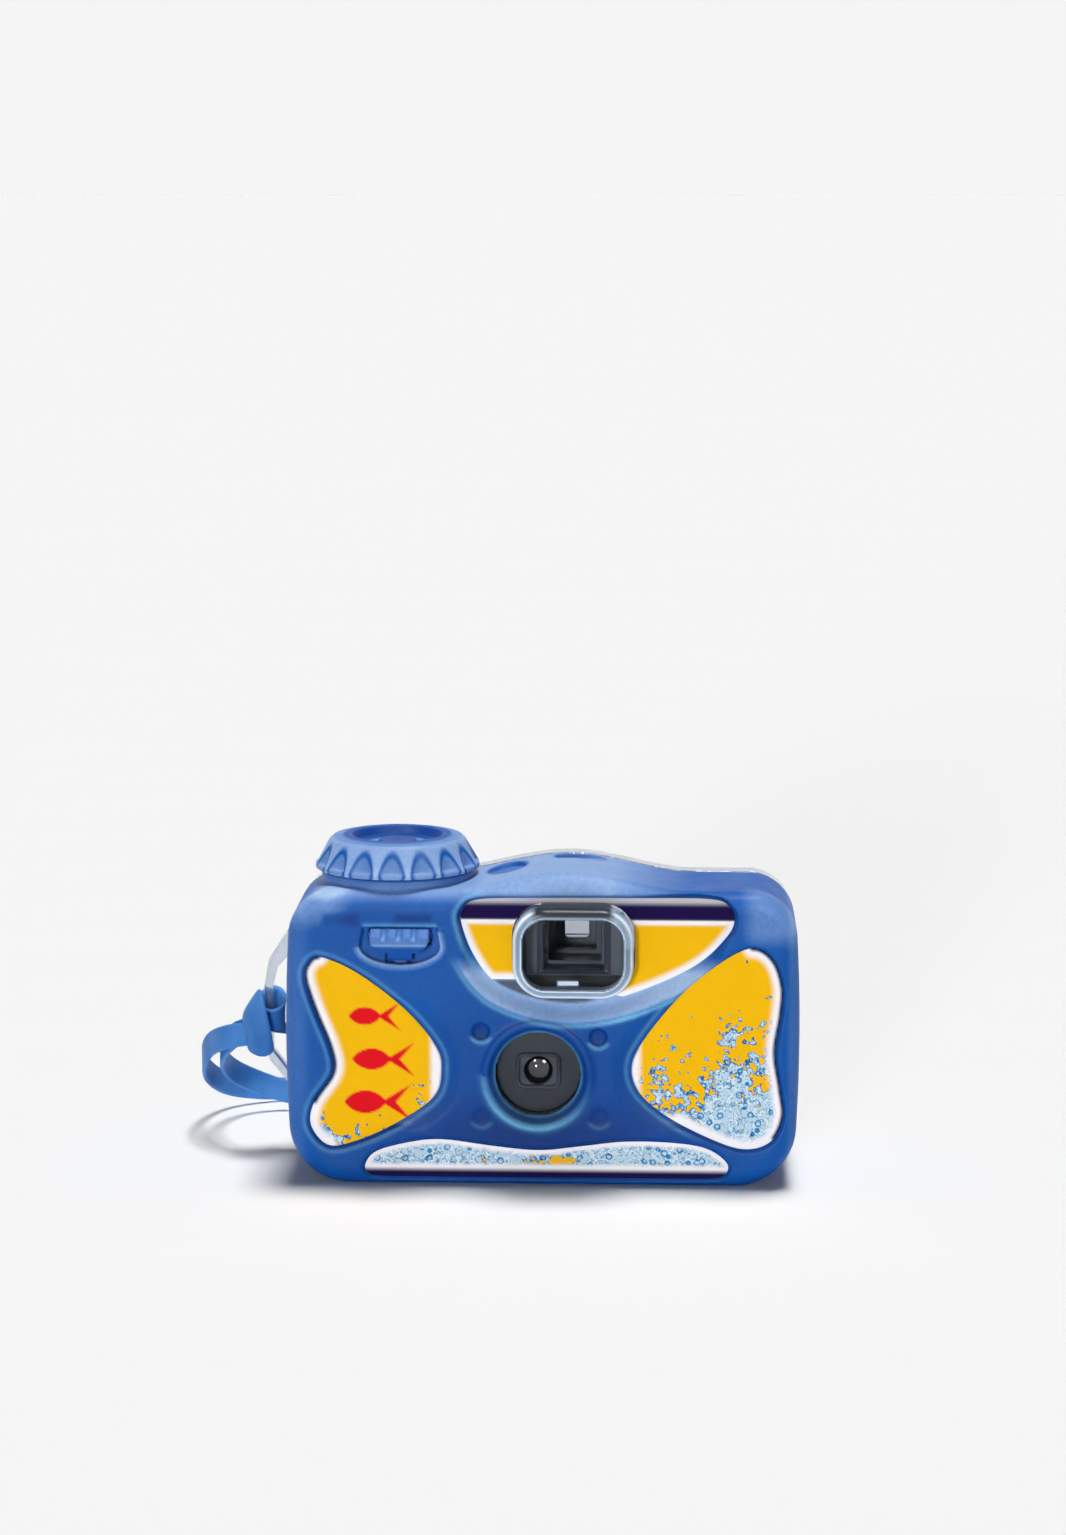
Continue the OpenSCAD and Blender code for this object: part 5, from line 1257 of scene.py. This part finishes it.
def paint_left(x, z, depth):
    """Red fish, with drops of water along the lower edge."""
    end_line = 0.6 * (1 - ease(depth / 0.5)) * rise(x, -27, 1)
    low_right, low_left = bell(x + 28, 5) * bell(z - 23, 6), bell(x + 52, 4) * bell(z - 13, 5)
    return {"white": np.maximum(border(LEFT_WHITE, x, z, *WHITE_BORDER), rise(x, LEFT_END, END_FADE)),
            "ink": np.maximum(border(LEFT_DARK, x, z, *DARK_BORDER), end_line),
            "red": reduce(np.maximum, (inside(fish(x, z, *one), 0.15) for one in FISH)),
            "water": 0.34 - 0.03 * (z - 12) + 0.30 * low_right + 0.12 * low_left}


def paint_right(x, z, depth):
    """Splash of water that rises to the right, up to a ragged crest."""
    low_edge = (1 - rise(depth, 0.3, 1.2)) * fall(z, 20, 3)
    end_line = 0.6 * (1 - ease(depth / 0.5)) * fall(x, 24, 1)
    crest = 24 + 9 * rise(x, 32, 20) + 2.2 * np.sin(0.45 * x)
    water = 0.5 + np.where(z < crest, 0.035 * (crest - z), 0.021 * (crest - z) - 0.03)
    white = np.maximum(border(RIGHT_WHITE, x, z, *WHITE_BORDER), fall(x, RIGHT_END, END_FADE))
    return {"white": np.maximum(white, low_edge),
            "ink": np.maximum(border(RIGHT_DARK, x, z, *DARK_BORDER), end_line),
            "water": water}


def paint_top(x, z, depth):
    """Dark band along the top, over white that fades into the field."""
    side = np.where(z > 66.0, FAR, depth)
    return {"white": np.maximum(1 - rise(side, 0.6, 1.6), rise(z, 64.2, 0.9)),
            "ink": rise(z, 65.6, 0.4) * (1 - 0.55 * rise(z, 69.0, 1.6))}


def paint_bottom(x, z, depth):
    """Water all over but for one patch, above a white and a dark line."""
    patch = inside(np.hypot((x - 2) / 7.0, (z - 6.8) / 1.4) - 1, 0.15)
    return {"white": np.maximum(1 - rise(depth, 0.5, 1.2), fall(z, 6.2, 1.2)), "ink": fall(z, 4.9, 1.3),
            "water": 0.92 - 0.43 * patch}


HOLE_GAP, HOLE_STEPS = 0.3, 8
finder_hole = []
for side, up, start in ((1, 1, 0), (-1, 1, 90), (-1, -1, 180), (1, -1, 270)):
    corner_x, corner_z = VF_X + side * (VF_W / 2 - VF_R), VF_Z + up * (VF_H / 2 - VF_R)
    finder_hole += list(arc(corner_x, corner_z, VF_R + HOLE_GAP, start, start + 90, HOLE_STEPS))
top_edge = above(TOP, TOP_LABEL_LOW - 4)
top_edge[:, 1] = np.maximum(top_edge[:, 1], np.where(top_edge[:, 0] < VF_X, TOP_LABEL_LOW, 0))
label_piece("label_left", LEFT, FRONT_Y + LABEL_SINK, yellow_print, "yellow_label", paint_left)
label_piece("label_right", RIGHT, FRONT_Y + LABEL_SINK, yellow_print, "yellow_label", paint_right)
label_piece("label_bottom", BOTTOM, FRONT_Y + LABEL_SINK, pale_print, "pale_label", paint_bottom)
label_piece("label_top", top_edge, FRONT_Y + TOP_SINK, yellow_print, "yellow_label", paint_top,
            np.array(finder_hole))


# Materials of the solids that show as they are

finish = (
    (rubber, ("shell_gasket", "lens_window_seal", "knob_o_ring", "plunger_o_ring")),
    (window, ("lens_window", "viewfinder_front_lens", "viewfinder_rear_lens")),
    (white, ("knob_shaft", "release_lever", "sprocket", "counter_dial")),
    (steel, ("knob_retaining_clip", "plunger_spring", "shutter_blade", "shutter_spring", "striker_lever",
             "striker_spring")),
    (hinge_blue, ("trigger_pin", "release_plunger")),
    (black, ("camera_chassis", "camera_front_cover", "camera_back_cover", "camera_top_cover", "wind_wheel",
             "cartridge_spool", "supply_spool")),
    (lens_glass, ("taking_lens",)),
    (back_yellow, ("label_back",)),
    (tin, ("film_cartridge",)),
    (film, ("film_roll", "film_strip")),
)
for look, names in finish:
    for name in names:
        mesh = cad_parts[name].data
        mesh.materials.clear()
        mesh.materials.append(look)


# Spring of the plunger, copied with a mesh of its own that keeps one length; the real spring shortens when
# the trigger is pulled

coil = bpy.data.objects.new("plunger_spring_coil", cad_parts["plunger_spring"].data.copy())
coil.matrix_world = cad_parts["plunger_spring"].matrix_world
scene.collection.objects.link(coil)
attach(coil, "housing")
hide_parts("plunger_spring")
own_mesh(coil)


# Floor, light and background, in metres

PAGE, FLOOR_GREY, AMBIENT = srgb(245, 245, 245), 0.885, 0.08
FLOOR_CORNERS = [(-30, -30, 0), (30, -30, 0), (30, 60, 0), (-30, 60, 0)]
AIM = Vector((0, 0, 0.04))
floor_mesh = bpy.data.meshes.new("floor")
floor_mesh.from_pydata(FLOOR_CORNERS, [], [(0, 1, 2, 3)])
floor = bpy.data.objects.new("floor", floor_mesh)
scene.collection.objects.link(floor)
floor_look, floor_tree, floor_bsdf = material("floor")
dress(floor_tree, floor_bsdf, Base_Color=grey(FLOOR_GREY), Roughness=0.9, Specular_IOR_Level=0.0)
floor_mesh.materials.append(floor_look)


def plain_background():
    """Even page colour where it is seen, with only a little of its light on the object."""
    world = bpy.data.worlds.new("world")
    scene.world = world
    world.use_nodes = True
    tree = world.node_tree
    ambient = tree.nodes["Background"]
    feed(tree, grey(1.0), ambient.inputs["Color"])
    feed(tree, AMBIENT, ambient.inputs["Strength"])
    page = node(tree, "ShaderNodeBackground", Color=PAGE, Strength=1.0)
    path = tree.nodes.new("ShaderNodeLightPath")
    shown = calculate(tree, "MAXIMUM", path.outputs["Is Camera Ray"], path.outputs["Is Glossy Ray"])
    shown = calculate(tree, "MAXIMUM", shown, path.outputs["Is Transmission Ray"])
    either = tree.nodes.new("ShaderNodeMixShader")
    for socket, value in enumerate((shown, ambient.outputs[0], page.outputs[0])):
        tree.links.new(value, either.inputs[socket])
    tree.links.new(either.outputs[0], tree.nodes["World Output"].inputs["Surface"])


def lamp(name, kind, place, strength, **settings):
    """Light that points from its place at the middle of the object."""
    data = bpy.data.lights.new(name, kind)
    data.energy = strength
    for key, value in settings.items():
        setattr(data, key, value)
    light = bpy.data.objects.new(name, data)
    light.location = place
    light.rotation_euler = (AIM - Vector(place)).to_track_quat("-Z", "Y").to_euler()
    scene.collection.objects.link(light)
    return light


plain_background()
lamp("sky", "SUN", (0.09, 0.085, 1.0), 2.9, angle=math.radians(16))
lamp("front", "SUN", (-0.22, -1.0, 0.13), 1.5, angle=math.radians(9))
for name, place in (("softbox_left", (-0.35, -0.55, 0.65)), ("softbox_right", (0.40, -0.60, 0.55))):
    softbox = lamp(name, "AREA", place, 8.0, shape="RECTANGLE", size=0.24, size_y=0.30)
    softbox.visible_diffuse = False
